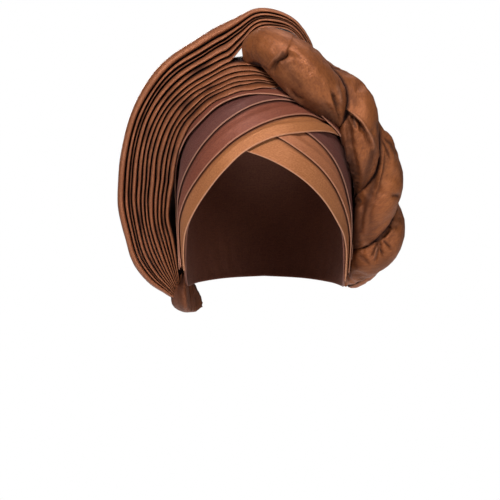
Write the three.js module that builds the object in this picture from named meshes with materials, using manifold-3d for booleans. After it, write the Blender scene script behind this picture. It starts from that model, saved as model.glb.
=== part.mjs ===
// Pleated head wrap in shot cloth: a cap with crossed brow bands, a standing fan of pleats and a rope twist.
// Millimetres, +Z up, +X to the viewer's right, the face opening towards -Y.
// The origin is on the inside of the crown, where the top of the head touches.
import * as THREE from "three";
import Module from "manifold-3d";

const wasm = await Module();
wasm.setup();

// Head form inside the cap
const HEAD_HALF_WIDTH = 72;
const HEAD_HALF_LENGTH = 94;
const DOME_DROP = 88;
const CAP_DROP = 176;
const SIDE_TAPER = 0.07;
const NAPE_TAPER = 0.34;
const RING_POWER = 2.15;
const DOME_POWER = 2.2;

// Cloth and clearances
const CAP_WALL = 1.6;
const BAND_CLOTH = 1;
const LAYER_GAP = 0.5;
const SEAT_GAP = 0.5;
const BAND_OVERLAP = 6;
const CAP_INSET = 4;

// Where a band lies on the one below: spare millimetres, and shares of its width that the lap may take
const LAP_SPARE = 4;
const LAP_MOST = 0.6;
const LAP_FALL = 0.3;
const LAP_END = 0.9;
const TUCK_SHARE = 0.5;
const CLIMB_FROM = 24;
const CLIMB_TO = 8;

// Fan of pleats, measured in planes through a line from front to back behind the ears
const FAN_CENTRE_DROP = 85;
const FAN_WIDTH = 52;
const FAN_DEPTH = 50;
const PLEAT_GROOVE = 7;
const PLEAT_BULGE = 1.5;

// Shape of one pleat: shares of its own width, of the group's depth and of the groove
const PLEAT_SHOULDERS = [0.2, 0.8];
const SHOULDER_DEEP = 0.3;
const GROOVE_TO_WIDTH = 1.8;
const GROOVE_TO_DEPTH = 0.25;
const REAR_GROOVE = 0.7;
const REAR_NOSE = 0.5;
const SIDE_DEPTHS = [0.35, 0.6];
const EDGE_SHARE = 0.3;
const SLEEVE_GROW = 0.25;
const SLEEVE_PAST = 1;

// Twist and bun
const TWIST_RADIUS = 23;
const STRAND_SHARE = 0.74;
const STRAND_OFFSET = 0.28;
const BUN_RADIUS = 20;

// Mesh steps
const CAP_COLUMNS = 40;
const CAP_ROWS = 13;
const BLOCK_ROWS = 12;
const BAND_STEP = 10;
const FAN_STEP = 7.4;
const TWIST_STEPS = 36;
const STRAND_ARC_POINTS = 9;
const BUN_RINGS = 8;
const BUN_SIDES = 16;
const HALVINGS = 30;

// Rows of numbers under named columns
function table(columns, ...rows) {
  return rows.map((row) => Object.fromEntries(columns.map((column, index) => [column, row[index]])));
}

// Stack of cloth on the cap, each lift counted from the head form
const ON_CAP = CAP_WALL + LAYER_GAP;
const LAYER = BAND_CLOTH + LAYER_GAP;
const TWIST_LIFT = ON_CAP + 3 * LAYER + BAND_CLOTH + 2 * SEAT_GAP;

// Hem and face opening of the cap: a row per turn from the front, down as a share of the cap's drop
const HEM = table(
  ["turn", "down"],
  [-180, 0.955],
  [-150, 0.965],
  [-120, 0.985],
  [-96, 1],
  [-84, 0.97],
  [-72, 0.9],
  [-58, 0.745],
  [-45, 0.655],
  [-32, 0.55],
  [-20, 0.455],
  [-9.5, 0.373],
  [3, 0.415],
  [17, 0.489],
  [30, 0.58],
  [43, 0.682],
  [56, 0.767],
  [66, 0.9],
  [78, 0.99],
  [96, 1],
  [120, 0.985],
  [150, 0.965],
  [180, 0.955],
);

// Fold lines of the bands that rise from the viewer's left, a row per section across all three
const OVER_SECTIONS = table(
  ["lowTurn", "lowDown", "midTurn", "midDown", "highTurn", "highDown", "topTurn", "topDown"],
  [-68, 0.926, -80, 0.909, -86, 0.898, -95, 0.886],
  [-66, 0.841, -82, 0.83, -88, 0.807, -98, 0.78],
  [-58, 0.744, -76, 0.716, -86, 0.67, -95, 0.585],
  [-45, 0.653, -58, 0.608, -66, 0.54, -80, 0.4],
  [-32, 0.551, -40, 0.494, -49, 0.432, -65, 0.285],
  [-20, 0.455, -27, 0.398, -35, 0.321, -50, 0.213],
  [-9.5, 0.373, -15, 0.313, -23, 0.233, -30, 0.13],
  [4, 0.315, -2, 0.25, -9, 0.165, -13, 0.092],
  [20, 0.29, 12, 0.213, 6, 0.136, 3, 0.08],
  [37, 0.281, 27, 0.202, 20, 0.142, 16, 0.088],
  [52, 0.295, 40, 0.227, 30, 0.17, 26, 0.115],
);

// Fold lines of the bands that fall to the viewer's right, beneath the others
const UNDER_SECTIONS = table(
  ["lowTurn", "lowDown", "midTurn", "midDown", "highTurn", "highDown", "topTurn", "topDown"],
  [-15.5, 0.352, 1, 0.292, 17, 0.268, 38, 0.262],
  [-9.5, 0.371, 5, 0.304, 22, 0.284, 43, 0.272],
  [3, 0.415, 15, 0.358, 30, 0.33, 51, 0.288],
  [17, 0.489, 27, 0.432, 39, 0.395, 60, 0.338],
  [30, 0.58, 38, 0.511, 49, 0.483, 70, 0.41],
  [43, 0.682, 50, 0.608, 60, 0.585, 81, 0.5],
  [56, 0.767, 63, 0.71, 72, 0.688, 89, 0.605],
  [64, 0.852, 74, 0.807, 80, 0.784, 92, 0.73],
  [68, 0.977, 79, 0.938, 84, 0.898, 93, 0.86],
);

// Arch that frames the bands, from the left ear over the brow to the right ear; lift in layers of cloth
const ARCH_SECTIONS = table(
  ["edgeTurn", "edgeDown", "backTurn", "backDown", "layers"],
  [-90, 0.92, -108, 0.92, 2],
  [-94, 0.784, -110, 0.77, 2],
  [-91, 0.614, -107, 0.57, 2],
  [-77, 0.432, -90, 0.35, 2],
  [-61, 0.313, -74, 0.222, 2],
  [-46, 0.239, -57, 0.148, 2],
  [-32, 0.159, -40, 0.091, 2],
  [-16, 0.119, -20, 0.06, 2],
  [0, 0.114, 0, 0.054, 2],
  [15, 0.131, 20, 0.06, 2.4],
  [27, 0.165, 38, 0.085, 3],
  [38, 0.233, 52, 0.142, 3],
  [48, 0.29, 64, 0.21, 3],
  [58, 0.369, 74, 0.29, 2],
  [72, 0.455, 88, 0.39, 2],
  [82, 0.557, 98, 0.51, 2],
  [86, 0.693, 102, 0.67, 2],
  [87, 0.87, 103, 0.86, 2],
);

// Fan of pleats: a row per angle, counted from straight down, up over the viewer's left to the top.
// off and wide are shares of the fan's width, front shares of the head's half length, deep of its depth.
// innerTop and outerFoot are shares of the width, where the inner pleats end and the outer ones begin.
// layers counts the cloth of the arch under the pleats.
const FAN_SECTIONS = table(
  ["at", "off", "wide", "frontIn", "frontOut", "deep", "innerTop", "outerFoot", "layers"],
  [37, 0.02, 0.15, 0.09, 0.11, 0.36, 0.5, 0.5, 2],
  [42, 0.02, 0.36, 0.05, 0.08, 0.55, 0.5, 0.5, 2],
  [49, 0.02, 0.63, 0, 0.04, 0.78, 0.5, 0.5, 2],
  [58, 0.04, 0.81, -0.06, 0, 0.92, 0.5, 0.5, 2],
  [69, 0.1, 0.82, -0.14, -0.05, 1, 0.5, 0.5, 2],
  [80, 0.06, 0.92, -0.2, -0.08, 1.04, 0.5, 0.5, 2],
  [91, 0.01, 0.96, -0.25, -0.11, 1.04, 0.5, 0.5, 2],
  [106, 0, 0.99, -0.36, -0.15, 1, 0.52, 0.52, 2],
  [122, 0, 1.05, -0.47, -0.21, 0.98, 0.5, 0.5, 2],
  [138, 0, 1.14, -0.59, -0.26, 0.95, 0.45, 0.45, 2],
  [152, 0, 1.17, -0.66, -0.29, 0.93, 0.42, 0.42, 2],
  [163, 0, 1.28, -0.705, -0.31, 0.9, 0.43, 0.43, 2],
  [170, 0, 1.36, -0.72, -0.32, 0.88, 0.38, 0.56, 2],
  [177, 0, 1.43, -0.7, -0.32, 0.85, 0.29, 0.71, 2.2],
  [184, 0, 1.4, -0.7, -0.32, 0.8, 0.24, 0.76, 2.2],
  [191, 0, 1.21, -0.67, -0.32, 0.72, 0.23, 0.79, 2.8],
  [198, 0, 0.89, -0.62, -0.32, 0.6, 0.25, 0.74, 3],
  [205, 0, 0.52, -0.58, -0.31, 0.5, 0.3, 0.55, 3],
  [212, 0, 0.27, -0.55, -0.3, 0.4, 0.4, 0.2, 3],
);
const INNER_FAN = { from: 40, to: 203 };
const OUTER_FAN = { from: 37, to: 211 };

// Pleats from the inside out: wide is a share of the group, reach a share of the groove's depth
const INNER_PLEATS = table(
  ["wide", "reach"],
  [1.2, 0],
  [0.95, -0.2],
  [0.85, 0.1],
  [1.1, -0.15],
  [1.1, 0.1],
  [0.85, -0.1],
);
const OUTER_PLEATS = table(
  ["wide", "reach"],
  [1, 0],
  [1.1, -0.15],
  [1.2, 0.1],
  [0.65, -0.25],
  [1, 0.05],
  [1.3, 0.15],
);

// Axis of the twist: at as in the fan, off the cap and thick as shares of the twist's radius,
// front a share of the head's half length, half turns of the strands
const TWIST_SECTIONS = table(
  ["at", "off", "front", "thick", "halfTurns"],
  [176, 0.9, -0.3, 0.5, -0.25],
  [178.5, 1.28, -0.51, 0.7, -0.16],
  [183, 1.42, -0.62, 0.86, -0.12],
  [190, 1.27, -0.68, 0.98, -0.06],
  [198, 0.99, -0.68, 1.02, 0],
  [209, 0.6, -0.63, 0.98, 0.08],
  [220, 0.49, -0.54, 0.96, 0.34],
  [234, 0.47, -0.45, 0.98, 0.82],
  [250, 0.48, -0.38, 0.99, 1.25],
  [265, 0.56, -0.22, 1.02, 1.58],
  [281, 0.68, -0.09, 1.05, 2.02],
  [294, 0.74, 0, 1.06, 2.44],
  [304, 0.68, 0.1, 0.95, 2.86],
  [313, 0.4, 0.2, 0.66, 3.2],
  [321, 0.22, 0.33, 0.26, 3.4],
);

// Bun where the pleats end: a row per ring from its gathered neck,
// in shares of its radius and of the head's sizes
const BUN_TOP = { side: -0.9, front: 0.2, down: 1.015 };
const BUN_SECTIONS = table(
  ["along", "wide", "deep"],
  [-0.68, 0.52, 0.6],
  [-0.3, 0.64, 0.78],
  [0, 0.8, 0.95],
  [0.3, 0.9, 1.06],
  [0.62, 0.9, 1.06],
  [0.9, 0.74, 0.88],
  [1.08, 0.34, 0.42],
);
const BUN_PUCKERS = 5;
const BUN_PUCKER_DEPTH = 0.07;

// Smooth value of a table's column, with at as the row's position
function sample(rows, column, key, at) {
  let next = rows.findIndex((row) => row[key] >= at);
  if (next === -1) next = rows.length - 1;
  if (next === 0) next = 1;
  const rowAt = (index) => rows[Math.min(Math.max(index, 0), rows.length - 1)];
  const [before, from, to, after] = [next - 2, next - 1, next, next + 1].map(rowAt);
  const span = to[key] - from[key];
  const share = Math.min(Math.max((at - from[key]) / span, 0), 1);
  const slopeIn = from === before ? (to[column] - from[column]) / span
    : (to[column] - before[column]) / (to[key] - before[key]);
  const slopeOut = to === after ? (to[column] - from[column]) / span
    : (after[column] - from[column]) / (after[key] - from[key]);
  const square = share * share;
  const cube = square * share;
  return from[column] * (2 * cube - 3 * square + 1)
    + slopeIn * span * (cube - 2 * square + share)
    + to[column] * (3 * square - 2 * cube)
    + slopeOut * span * (cube - square);
}

// Half sizes of the level ring of the form at this drop, lifted outwards
function formRing(drop, lift) {
  const high = Math.max(0, 1 - drop / DOME_DROP);
  const low = Math.max(0, (drop - DOME_DROP) / (CAP_DROP - DOME_DROP));
  const round = Math.pow(1 - Math.pow(high, DOME_POWER), 1 / DOME_POWER);
  return {
    side: (HEAD_HALF_WIDTH * (1 - SIDE_TAPER * low ** 2) + lift) * round,
    front: (HEAD_HALF_LENGTH + lift) * round,
    back: (HEAD_HALF_LENGTH * (1 - NAPE_TAPER * low ** 1.6) + lift) * round,
    z: lift * high - drop,
  };
}

// Point of the form at a turn from the front, towards the viewer's right
function formPoint(turn, drop, lift) {
  const ring = formRing(drop, lift);
  const across = Math.sin(THREE.MathUtils.degToRad(turn));
  const along = -Math.cos(THREE.MathUtils.degToRad(turn));
  if (ring.side === 0) return new THREE.Vector3(0, 0, ring.z);
  const half = along < 0 ? ring.front : ring.back;
  const power = Math.abs(across / ring.side) ** RING_POWER + Math.abs(along / half) ** RING_POWER;
  const radius = power ** (-1 / RING_POWER);
  return new THREE.Vector3(across * radius, along * radius, ring.z);
}

// Whether a point lies inside the lifted form, whose walls go on below the hem
function insideForm(x, y, z, lift) {
  const high = (z + DOME_DROP) / (DOME_DROP + lift);
  if (high >= 1) return false;
  const ring = formRing(high > 0 ? DOME_DROP * (1 - high) : -z, lift);
  const half = y < 0 ? ring.front : ring.back;
  return Math.abs(x / ring.side) ** RING_POWER + Math.abs(y / half) ** RING_POWER < 1;
}

// Unit direction of a fan angle, from straight down over the viewer's left
function fanDirection(at) {
  const angle = THREE.MathUtils.degToRad(at);
  return new THREE.Vector3(-Math.sin(angle), 0, -Math.cos(angle));
}

// Radius from the fan's line to the lifted form, at this angle and this far front or back
function formReach(at, y, lift) {
  const direction = fanDirection(at);
  let near = 0;
  let far = 2 * CAP_DROP;
  for (let halving = 0; halving < HALVINGS; halving += 1) {
    const middle = (near + far) / 2;
    const inside = insideForm(direction.x * middle, y, direction.z * middle - FAN_CENTRE_DROP, lift);
    if (inside) near = middle;
    else far = middle;
  }
  return near;
}

// Length down the form from the crown, and the drop that it reaches
const DOME_ARC = DOME_DROP * Math.PI / 2;

function arcOfDrop(drop) {
  if (drop > DOME_DROP) return DOME_ARC + drop - DOME_DROP;
  return DOME_DROP * Math.acos(1 - drop / DOME_DROP);
}

function dropOfArc(arc) {
  if (arc > DOME_ARC) return DOME_DROP + arc - DOME_ARC;
  return DOME_DROP * (1 - Math.cos(arc / DOME_DROP));
}

// Geometry from points and triangles
function solid(points, triangles) {
  const geometry = new THREE.BufferGeometry();
  geometry.setAttribute("position", new THREE.Float32BufferAttribute(points.flatMap((p) => p.toArray()), 3));
  geometry.setIndex(triangles.flat());
  geometry.computeVertexNormals();
  return geometry;
}

// Triangles that close a flat ring, seen from the side that its points turn round left
function closeRing(ring, first) {
  const normal = new THREE.Vector3();
  ring.forEach((point, index) => {
    const next = ring[(index + 1) % ring.length];
    normal.add(new THREE.Vector3().crossVectors(point.clone().sub(ring[0]), next.clone().sub(ring[0])));
  });
  normal.normalize();
  const across = ring[1].clone().sub(ring[0]).projectOnPlane(normal).normalize();
  const up = new THREE.Vector3().crossVectors(normal, across);
  const flat = ring.map((point) => new THREE.Vector2(point.dot(across), point.dot(up)));
  return THREE.ShapeUtils.triangulateShape(flat, []).map((face) => face.map((index) => index + first));
}

// Closed body through rings of equal count. Each ring turns left seen from the last ring's end.
// crossed says, for a side's index, whether its quads are split along their other diagonal.
function loft(rings, crossed = () => false) {
  const count = rings[0].length;
  const points = rings.flat();
  const triangles = [];
  for (let row = 0; row + 1 < rings.length; row += 1) {
    for (let index = 0; index < count; index += 1) {
      const next = (index + 1) % count;
      const [a, b] = [row * count + index, row * count + next];
      const [c, d] = [a + count, b + count];
      if (crossed(index)) triangles.push([a, b, c], [b, d, c]);
      else triangles.push([a, b, d], [a, d, c]);
    }
  }
  const last = count * (rings.length - 1);
  closeRing(rings[0], 0).forEach(([a, b, c]) => triangles.push([a, c, b]));
  closeRing(rings.at(-1), last).forEach((face) => triangles.push(face));
  return solid(points, triangles);
}

// Grid of the lifted form from the crown to an edge, given as a drop for each turn
function formGrid(lift, edge, rows) {
  const points = [formPoint(0, 0, lift)];
  for (let column = 0; column < CAP_COLUMNS; column += 1) {
    const turn = BROW_TURN + column * 360 / CAP_COLUMNS;
    const length = arcOfDrop(edge(turn));
    for (let row = 1; row <= rows; row += 1) {
      points.push(formPoint(turn, dropOfArc(length * row / rows), lift));
    }
  }
  return points;
}

// Triangles of such a grid, outwards, and its edge as a loop of indices
function gridTriangles(rows, first) {
  const triangles = [];
  const at = (column, row) => first + 1 + (column % CAP_COLUMNS) * rows + row - 1;
  for (let column = 0; column < CAP_COLUMNS; column += 1) {
    triangles.push([first, at(column, 1), at(column + 1, 1)]);
    for (let row = 1; row < rows; row += 1) {
      triangles.push([at(column, row), at(column, row + 1), at(column + 1, row + 1)]);
      triangles.push([at(column, row), at(column + 1, row + 1), at(column + 1, row)]);
    }
  }
  const edge = Array.from({ length: CAP_COLUMNS }, (_, column) => at(column, rows));
  return { triangles, edge };
}

// Turn of the point where the bands cross at the brow
const BROW_TURN = OVER_SECTIONS[6].lowTurn;

// Drop of the cap's edge, set back a little behind the bands that frame the face
function hemDrop(turn) {
  const wrapped = THREE.MathUtils.euclideanModulo(turn + 180, 360) - 180;
  const faceInset = CAP_INSET * THREE.MathUtils.smoothstep(90 - Math.abs(wrapped), 0, 30);
  return sample(HEM, "down", "turn", wrapped) * CAP_DROP - faceInset;
}

// Cap: a shell from the crown to the hem, open at the face and at the neck
function capShell() {
  const outer = formGrid(CAP_WALL, hemDrop, CAP_ROWS);
  const inner = formGrid(0, hemDrop, CAP_ROWS);
  const outside = gridTriangles(CAP_ROWS, 0);
  const inside = gridTriangles(CAP_ROWS, outer.length);
  const triangles = [...outside.triangles, ...inside.triangles.map(([a, b, c]) => [a, c, b])];
  outside.edge.forEach((from, column) => {
    const next = (column + 1) % CAP_COLUMNS;
    const [a, b] = [from, outside.edge[next]];
    const [c, d] = [inside.edge[column], inside.edge[next]];
    triangles.push([a, c, d], [a, d, b]);
  });
  return solid([...outer, ...inner], triangles);
}

// Solid block of the lifted form down past the hem, for cutting what lies on the cap
function formBlock(lift) {
  const depth = CAP_DROP + 2 * BUN_RADIUS;
  const points = formGrid(lift, () => depth, BLOCK_ROWS);
  const { triangles, edge } = gridTriangles(BLOCK_ROWS, 0);
  const centre = points.length;
  points.push(new THREE.Vector3(0, 0, -depth));
  edge.forEach((from, column) => triangles.push([from, centre, edge[(column + 1) % CAP_COLUMNS]]));
  return solid(points, triangles);
}

// Rings of a band on the form: rows give its lower and upper edge, and how high each of them lies
function band(sections) {
  const reach = sections.slice(1).reduce((sum, section, index) => {
    const from = formPoint(sections[index].turn, sections[index].drop, 0);
    return sum + from.distanceTo(formPoint(section.turn, section.drop, 0));
  }, 0);
  const rows = sections.map((section, index) => ({ ...section, at: index / (sections.length - 1) }));
  const steps = Math.round(reach / BAND_STEP);
  return Array.from({ length: steps + 1 }, (_, step) => {
    const value = (column) => sample(rows, column, "at", step / steps);
    const width = formPoint(value("turn"), value("drop"), 0)
      .distanceTo(formPoint(value("topTurn"), value("topDrop"), 0));
    const end = 1 + value("past") / width;
    const lapped = Math.min(LAP_MOST, (BAND_OVERLAP + LAP_SPARE) / width);
    const down = Math.min(LAP_END, lapped + LAP_FALL);
    const across = [
      { share: 0, lift: value("lapLift") },
      { share: lapped, lift: value("lapLift") },
      { share: down, lift: value("lift") },
      { share: (down + end) / 2, lift: value("lift") },
      { share: end, lift: value("lift") },
    ];
    const edge = (extra) => across.map(({ share, lift }) => {
      const turn = THREE.MathUtils.lerp(value("turn"), value("topTurn"), share);
      const drop = THREE.MathUtils.lerp(value("drop"), value("topDrop"), share);
      return formPoint(turn, drop, lift + extra);
    });
    return [...edge(0), ...edge(BAND_CLOTH).reverse()];
  });
}

// Rows for one band of a set, between two of its fold lines, with its top edge tucked under the next band
const FOLD_LINES = ["low", "mid", "high", "top"];

function bandRows(sections, index, lapLayers, layers) {
  const spot = (section, line) => ({ turn: section[`${line}Turn`], drop: section[`${line}Down`] * CAP_DROP });
  const place = ({ turn, drop }) => formPoint(turn, drop, 0);
  return sections.map((section) => {
    const [low, high, next] = FOLD_LINES.slice(index, index + 3).map((line) => line && spot(section, line));
    const room = next ? place(high).distanceTo(place(next)) : 0;
    return {
      ...low,
      topTurn: high.turn,
      topDrop: high.drop,
      past: Math.min(BAND_OVERLAP, TUCK_SHARE * room),
      lapLift: ON_CAP + LAYER * lapLayers(section),
      lift: ON_CAP + LAYER * layers(section),
    };
  });
}

const underBand = (index, layers) => band(bandRows(UNDER_SECTIONS, index, () => layers, () => 0));
const overBand = (index, layers) => band(bandRows(OVER_SECTIONS, index, layers, () => 0));

// The over set climbs onto two layers of the under set to the right of the brow point
const climb = ({ lowTurn }) => (
  2 * THREE.MathUtils.smoothstep(lowTurn, BROW_TURN - CLIMB_FROM, BROW_TURN - CLIMB_TO)
);

const archRows = ARCH_SECTIONS.map((section) => ({
  turn: section.edgeTurn,
  drop: section.edgeDown * CAP_DROP,
  topTurn: section.backTurn,
  topDrop: section.backDown * CAP_DROP,
  past: 0,
  lapLift: ON_CAP + LAYER * section.layers,
  lift: ON_CAP,
}));

// Point of the fan at an angle: share across from the cap outwards, deep from the front fold backwards
function fanPoint(at, share, deep, side) {
  const value = (column) => sample(FAN_SECTIONS, column, "at", at);
  const depth = value("deep") * FAN_DEPTH;
  const lift = ON_CAP + LAYER * value("layers") + BAND_CLOTH + SEAT_GAP;
  const front = value("frontIn") * HEAD_HALF_LENGTH;
  const seat = formReach(at, front, lift) + value("off") * FAN_WIDTH;
  const push = Math.max(0, formReach(at, front + deep * depth, lift) - seat);
  const y = THREE.MathUtils.lerp(front, value("frontOut") * HEAD_HALF_LENGTH, share) + deep * depth;
  const free = seat + push * (1 - share) + share * value("wide") * FAN_WIDTH;
  const radius = Math.max(free, formReach(at, y, lift)) + side;
  return fanDirection(at).multiplyScalar(radius).add(new THREE.Vector3(0, y, -FAN_CENTRE_DROP));
}

// Ring of a group at a fan angle, from points across its front and its rear; gap draws in its two sides
function groupRing(at, { from, to }, gap, front, rear) {
  const point = (share, deep, side) => fanPoint(at, THREE.MathUtils.lerp(from, to, share), deep, side);
  const sideOf = (share) => {
    if (share < EDGE_SHARE) return gap;
    return share > 1 - EDGE_SHARE ? -gap : 0;
  };
  const across = ({ share, deep }) => point(share, deep, sideOf(share));
  const bulge = to === 1 ? PLEAT_BULGE : 0;
  const outside = SIDE_DEPTHS.map((deep) => point(1, deep, bulge - gap));
  const inside = SIDE_DEPTHS.map((deep) => point(0, deep, gap)).reverse();
  return [...front.map(across), ...outside, ...rear.map(across).reverse(), ...inside].reverse();
}

// Ring with a nose and a groove for each pleat in front, and a ridge and a groove behind
function pleatRing(at, pleats, bounds) {
  const total = pleats.reduce((sum, pleat) => sum + pleat.wide, 0);
  const depth = sample(FAN_SECTIONS, "deep", "at", at) * FAN_DEPTH;
  const width = (bounds.to - bounds.from) * sample(FAN_SECTIONS, "wide", "at", at) * FAN_WIDTH;
  const room = GROOVE_TO_WIDTH * width / pleats.length;
  const groove = Math.min(PLEAT_GROOVE, room, GROOVE_TO_DEPTH * depth) / depth;
  const rearGroove = 1 - REAR_GROOVE * groove;
  const front = [{ share: 0, deep: groove }];
  const rear = [{ share: 0, deep: rearGroove }];
  let start = 0;
  pleats.forEach(({ wide, reach }) => {
    const size = wide / total;
    const nose = reach * groove;
    const middle = start + size / 2;
    const [near, far] = PLEAT_SHOULDERS.map((share) => start + share * size);
    front.push({ share: near, deep: nose + SHOULDER_DEEP * groove });
    front.push({ share: middle, deep: nose });
    front.push({ share: far, deep: nose + SHOULDER_DEEP * groove });
    rear.push({ share: middle, deep: 1 - REAR_NOSE * Math.abs(nose) });
    start += size;
    front.push({ share: Math.min(start, 1), deep: groove });
    rear.push({ share: Math.min(start, 1), deep: rearGroove });
  });
  return groupRing(at, bounds, LAYER_GAP / 2, front, rear);
}

// Plain ring round a group, a little larger, for cutting what lies against it
function sleeveRing(at, bounds) {
  const depth = sample(FAN_SECTIONS, "deep", "at", at) * FAN_DEPTH;
  const grow = (SLEEVE_GROW * PLEAT_GROOVE + SEAT_GAP) / depth;
  const front = [0, 0.5, 1].map((share) => ({ share, deep: -grow }));
  const rear = [0, 0.5, 1].map((share) => ({ share, deep: 1 + grow }));
  return groupRing(at, bounds, -SEAT_GAP, front, rear);
}

// Fan angles of a group's rings
function fanAngles({ from, to }) {
  const steps = Math.round((to - from) / FAN_STEP);
  return Array.from({ length: steps + 1 }, (_, step) => THREE.MathUtils.lerp(from, to, step / steps));
}

function pleatSolid(range, pleats, boundsAt) {
  return loft(fanAngles(range).map((at) => pleatRing(at, pleats, boundsAt(at))));
}

function sleeveSolid(range, boundsAt) {
  const angles = [range.from - SLEEVE_PAST, ...fanAngles(range), range.to + SLEEVE_PAST];
  return loft(angles.map((at) => sleeveRing(at, boundsAt(at))));
}

const innerBounds = (at) => ({ from: 0, to: sample(FAN_SECTIONS, "innerTop", "at", at) });

function outerBounds(at) {
  const foot = sample(FAN_SECTIONS, "outerFoot", "at", at);
  return { from: Math.max(innerBounds(at).to, foot), to: 1 };
}

// Axis of the twist and the frame that its strands turn in: facing is towards the front, inward to the head
function twistStations() {
  const rows = TWIST_SECTIONS.map((row, index) => ({ ...row, along: index }));
  const place = (along) => {
    const value = (column) => sample(rows, column, "along", along);
    const y = value("front") * HEAD_HALF_LENGTH;
    const radius = formReach(value("at"), y, TWIST_LIFT) + value("off") * TWIST_RADIUS;
    return fanDirection(value("at")).multiplyScalar(radius).add(new THREE.Vector3(0, y, -FAN_CENTRE_DROP));
  };
  const axis = new THREE.CatmullRomCurve3(rows.map((row) => place(row.along)), false, "centripetal");
  return Array.from({ length: TWIST_STEPS + 1 }, (_, step) => {
    const along = step / TWIST_STEPS;
    const spot = axis.getUtoTmapping(along) * (rows.length - 1);
    const tangent = axis.getTangentAt(along);
    const facing = new THREE.Vector3(0, -1, 0).projectOnPlane(tangent).normalize();
    return {
      centre: axis.getPointAt(along),
      facing,
      inward: new THREE.Vector3().crossVectors(tangent, facing),
      thick: sample(rows, "thick", "along", spot) * TWIST_RADIUS,
      angle: sample(rows, "halfTurns", "along", spot) * Math.PI,
    };
  });
}

// One strand: a round section flattened where it meets the other strand
function strand(stations, halfTurn) {
  return stations.map(({ centre, facing, inward, thick, angle }) => {
    const turned = angle + halfTurn;
    const [cos, sin] = [Math.cos(turned), Math.sin(turned)];
    const out = facing.clone().multiplyScalar(cos).addScaledVector(inward, sin);
    const side = facing.clone().multiplyScalar(-sin).addScaledVector(inward, cos);
    const radius = STRAND_SHARE * thick;
    const offset = STRAND_OFFSET * thick;
    const open = Math.acos((LAYER_GAP / 2 - offset) / radius);
    const at = (forward, across) => (
      centre.clone().addScaledVector(out, forward).addScaledVector(side, across)
    );
    const arc = Array.from({ length: STRAND_ARC_POINTS }, (_, index) => {
      const angleOut = THREE.MathUtils.lerp(-open, open, index / (STRAND_ARC_POINTS - 1));
      return at(offset + radius * Math.cos(angleOut), radius * Math.sin(angleOut));
    });
    return [...arc, at(LAYER_GAP / 2, 0)];
  });
}

// Bun: rings from the neck down, with soft puckers round it
function bunRings() {
  const rows = BUN_SECTIONS.map((row, index) => ({ ...row, row: index / (BUN_SECTIONS.length - 1) }));
  return Array.from({ length: BUN_RINGS }, (_, ring) => {
    const value = (column) => sample(rows, column, "row", ring / (BUN_RINGS - 1));
    return Array.from({ length: BUN_SIDES }, (_, side) => {
      const angle = -side / BUN_SIDES * 2 * Math.PI;
      const pucker = 1 - BUN_PUCKER_DEPTH * Math.cos(BUN_PUCKERS * angle);
      return new THREE.Vector3(
        BUN_TOP.side * HEAD_HALF_WIDTH + value("wide") * BUN_RADIUS * pucker * Math.cos(angle),
        BUN_TOP.front * HEAD_HALF_LENGTH + value("deep") * BUN_RADIUS * pucker * Math.sin(angle),
        -BUN_TOP.down * CAP_DROP - value("along") * BUN_RADIUS,
      );
    });
  });
}

// Geometry to a solid that can be cut, and back
function toSolid(geometry) {
  const vertProperties = new Float32Array(geometry.getAttribute("position").array);
  const triVerts = new Uint32Array(geometry.getIndex().array);
  return new wasm.Manifold(new wasm.Mesh({ numProp: 3, vertProperties, triVerts }));
}

function toGeometry(body) {
  const { vertProperties, triVerts } = body.getMesh();
  const geometry = new THREE.BufferGeometry();
  geometry.setAttribute("position", new THREE.Float32BufferAttribute(vertProperties, 3));
  geometry.setIndex(Array.from(triVerts));
  geometry.computeVertexNormals();
  return geometry;
}

// Body less its neighbours, of which the largest piece is kept
function carve(geometry, neighbours) {
  const cut = neighbours.reduce((body, neighbour) => body.subtract(neighbour), toSolid(geometry));
  const pieces = cut.decompose().sort((one, other) => other.volume() - one.volume());
  return toGeometry(pieces[0]);
}

const innerSleeve = toSolid(sleeveSolid(INNER_FAN, innerBounds));
const outerSleeve = toSolid(sleeveSolid(OUTER_FAN, outerBounds));
const twistBlock = toSolid(formBlock(TWIST_LIFT));
const bunBlock = toSolid(formBlock(ON_CAP));
const stations = twistStations();
const strandA = loft(strand(stations, 0), () => true);
const strandB = loft(strand(stations, Math.PI), (side) => side < STRAND_ARC_POINTS - 1);

const wrap = new THREE.Group();

function addPiece(name, geometry, color, roughness) {
  const material = new THREE.MeshStandardMaterial({ color, roughness, metalness: 0.1 });
  const mesh = new THREE.Mesh(geometry, material);
  mesh.name = name;
  wrap.add(mesh);
}

addPiece("cap", capShell(), 0x6b4032, 0.6);
addPiece("under_band_low", loft(underBand(0, 0), () => true), 0xc48056, 0.45);
addPiece("under_band_mid", loft(underBand(1, 1), () => true), 0x966048, 0.45);
addPiece("under_band_high", loft(underBand(2, 1), () => true), 0x734842, 0.45);
addPiece("over_band_low", loft(overBand(0, climb)), 0xbe7a52, 0.45);
addPiece("over_band_mid", loft(overBand(1, () => 1)), 0x82483e, 0.45);
addPiece("over_band_high", loft(overBand(2, () => 1)), 0x6e4644, 0.45);
addPiece("arch_band", loft(band(archRows)), 0x9a5c40, 0.45);
addPiece("inner_pleats", pleatSolid(INNER_FAN, INNER_PLEATS, innerBounds), 0x8a5238, 0.5);
addPiece("outer_pleats", pleatSolid(OUTER_FAN, OUTER_PLEATS, outerBounds), 0x96603f, 0.5);
addPiece("twist_strand_a", carve(strandA, [twistBlock, innerSleeve, outerSleeve]), 0xb07048, 0.4);
addPiece("twist_strand_b", carve(strandB, [twistBlock, innerSleeve, outerSleeve]), 0xa56843, 0.4);
addPiece("side_bun", carve(loft(bunRings()), [bunBlock, innerSleeve, outerSleeve]), 0x6b3a26, 0.55);

export default wrap;
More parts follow.
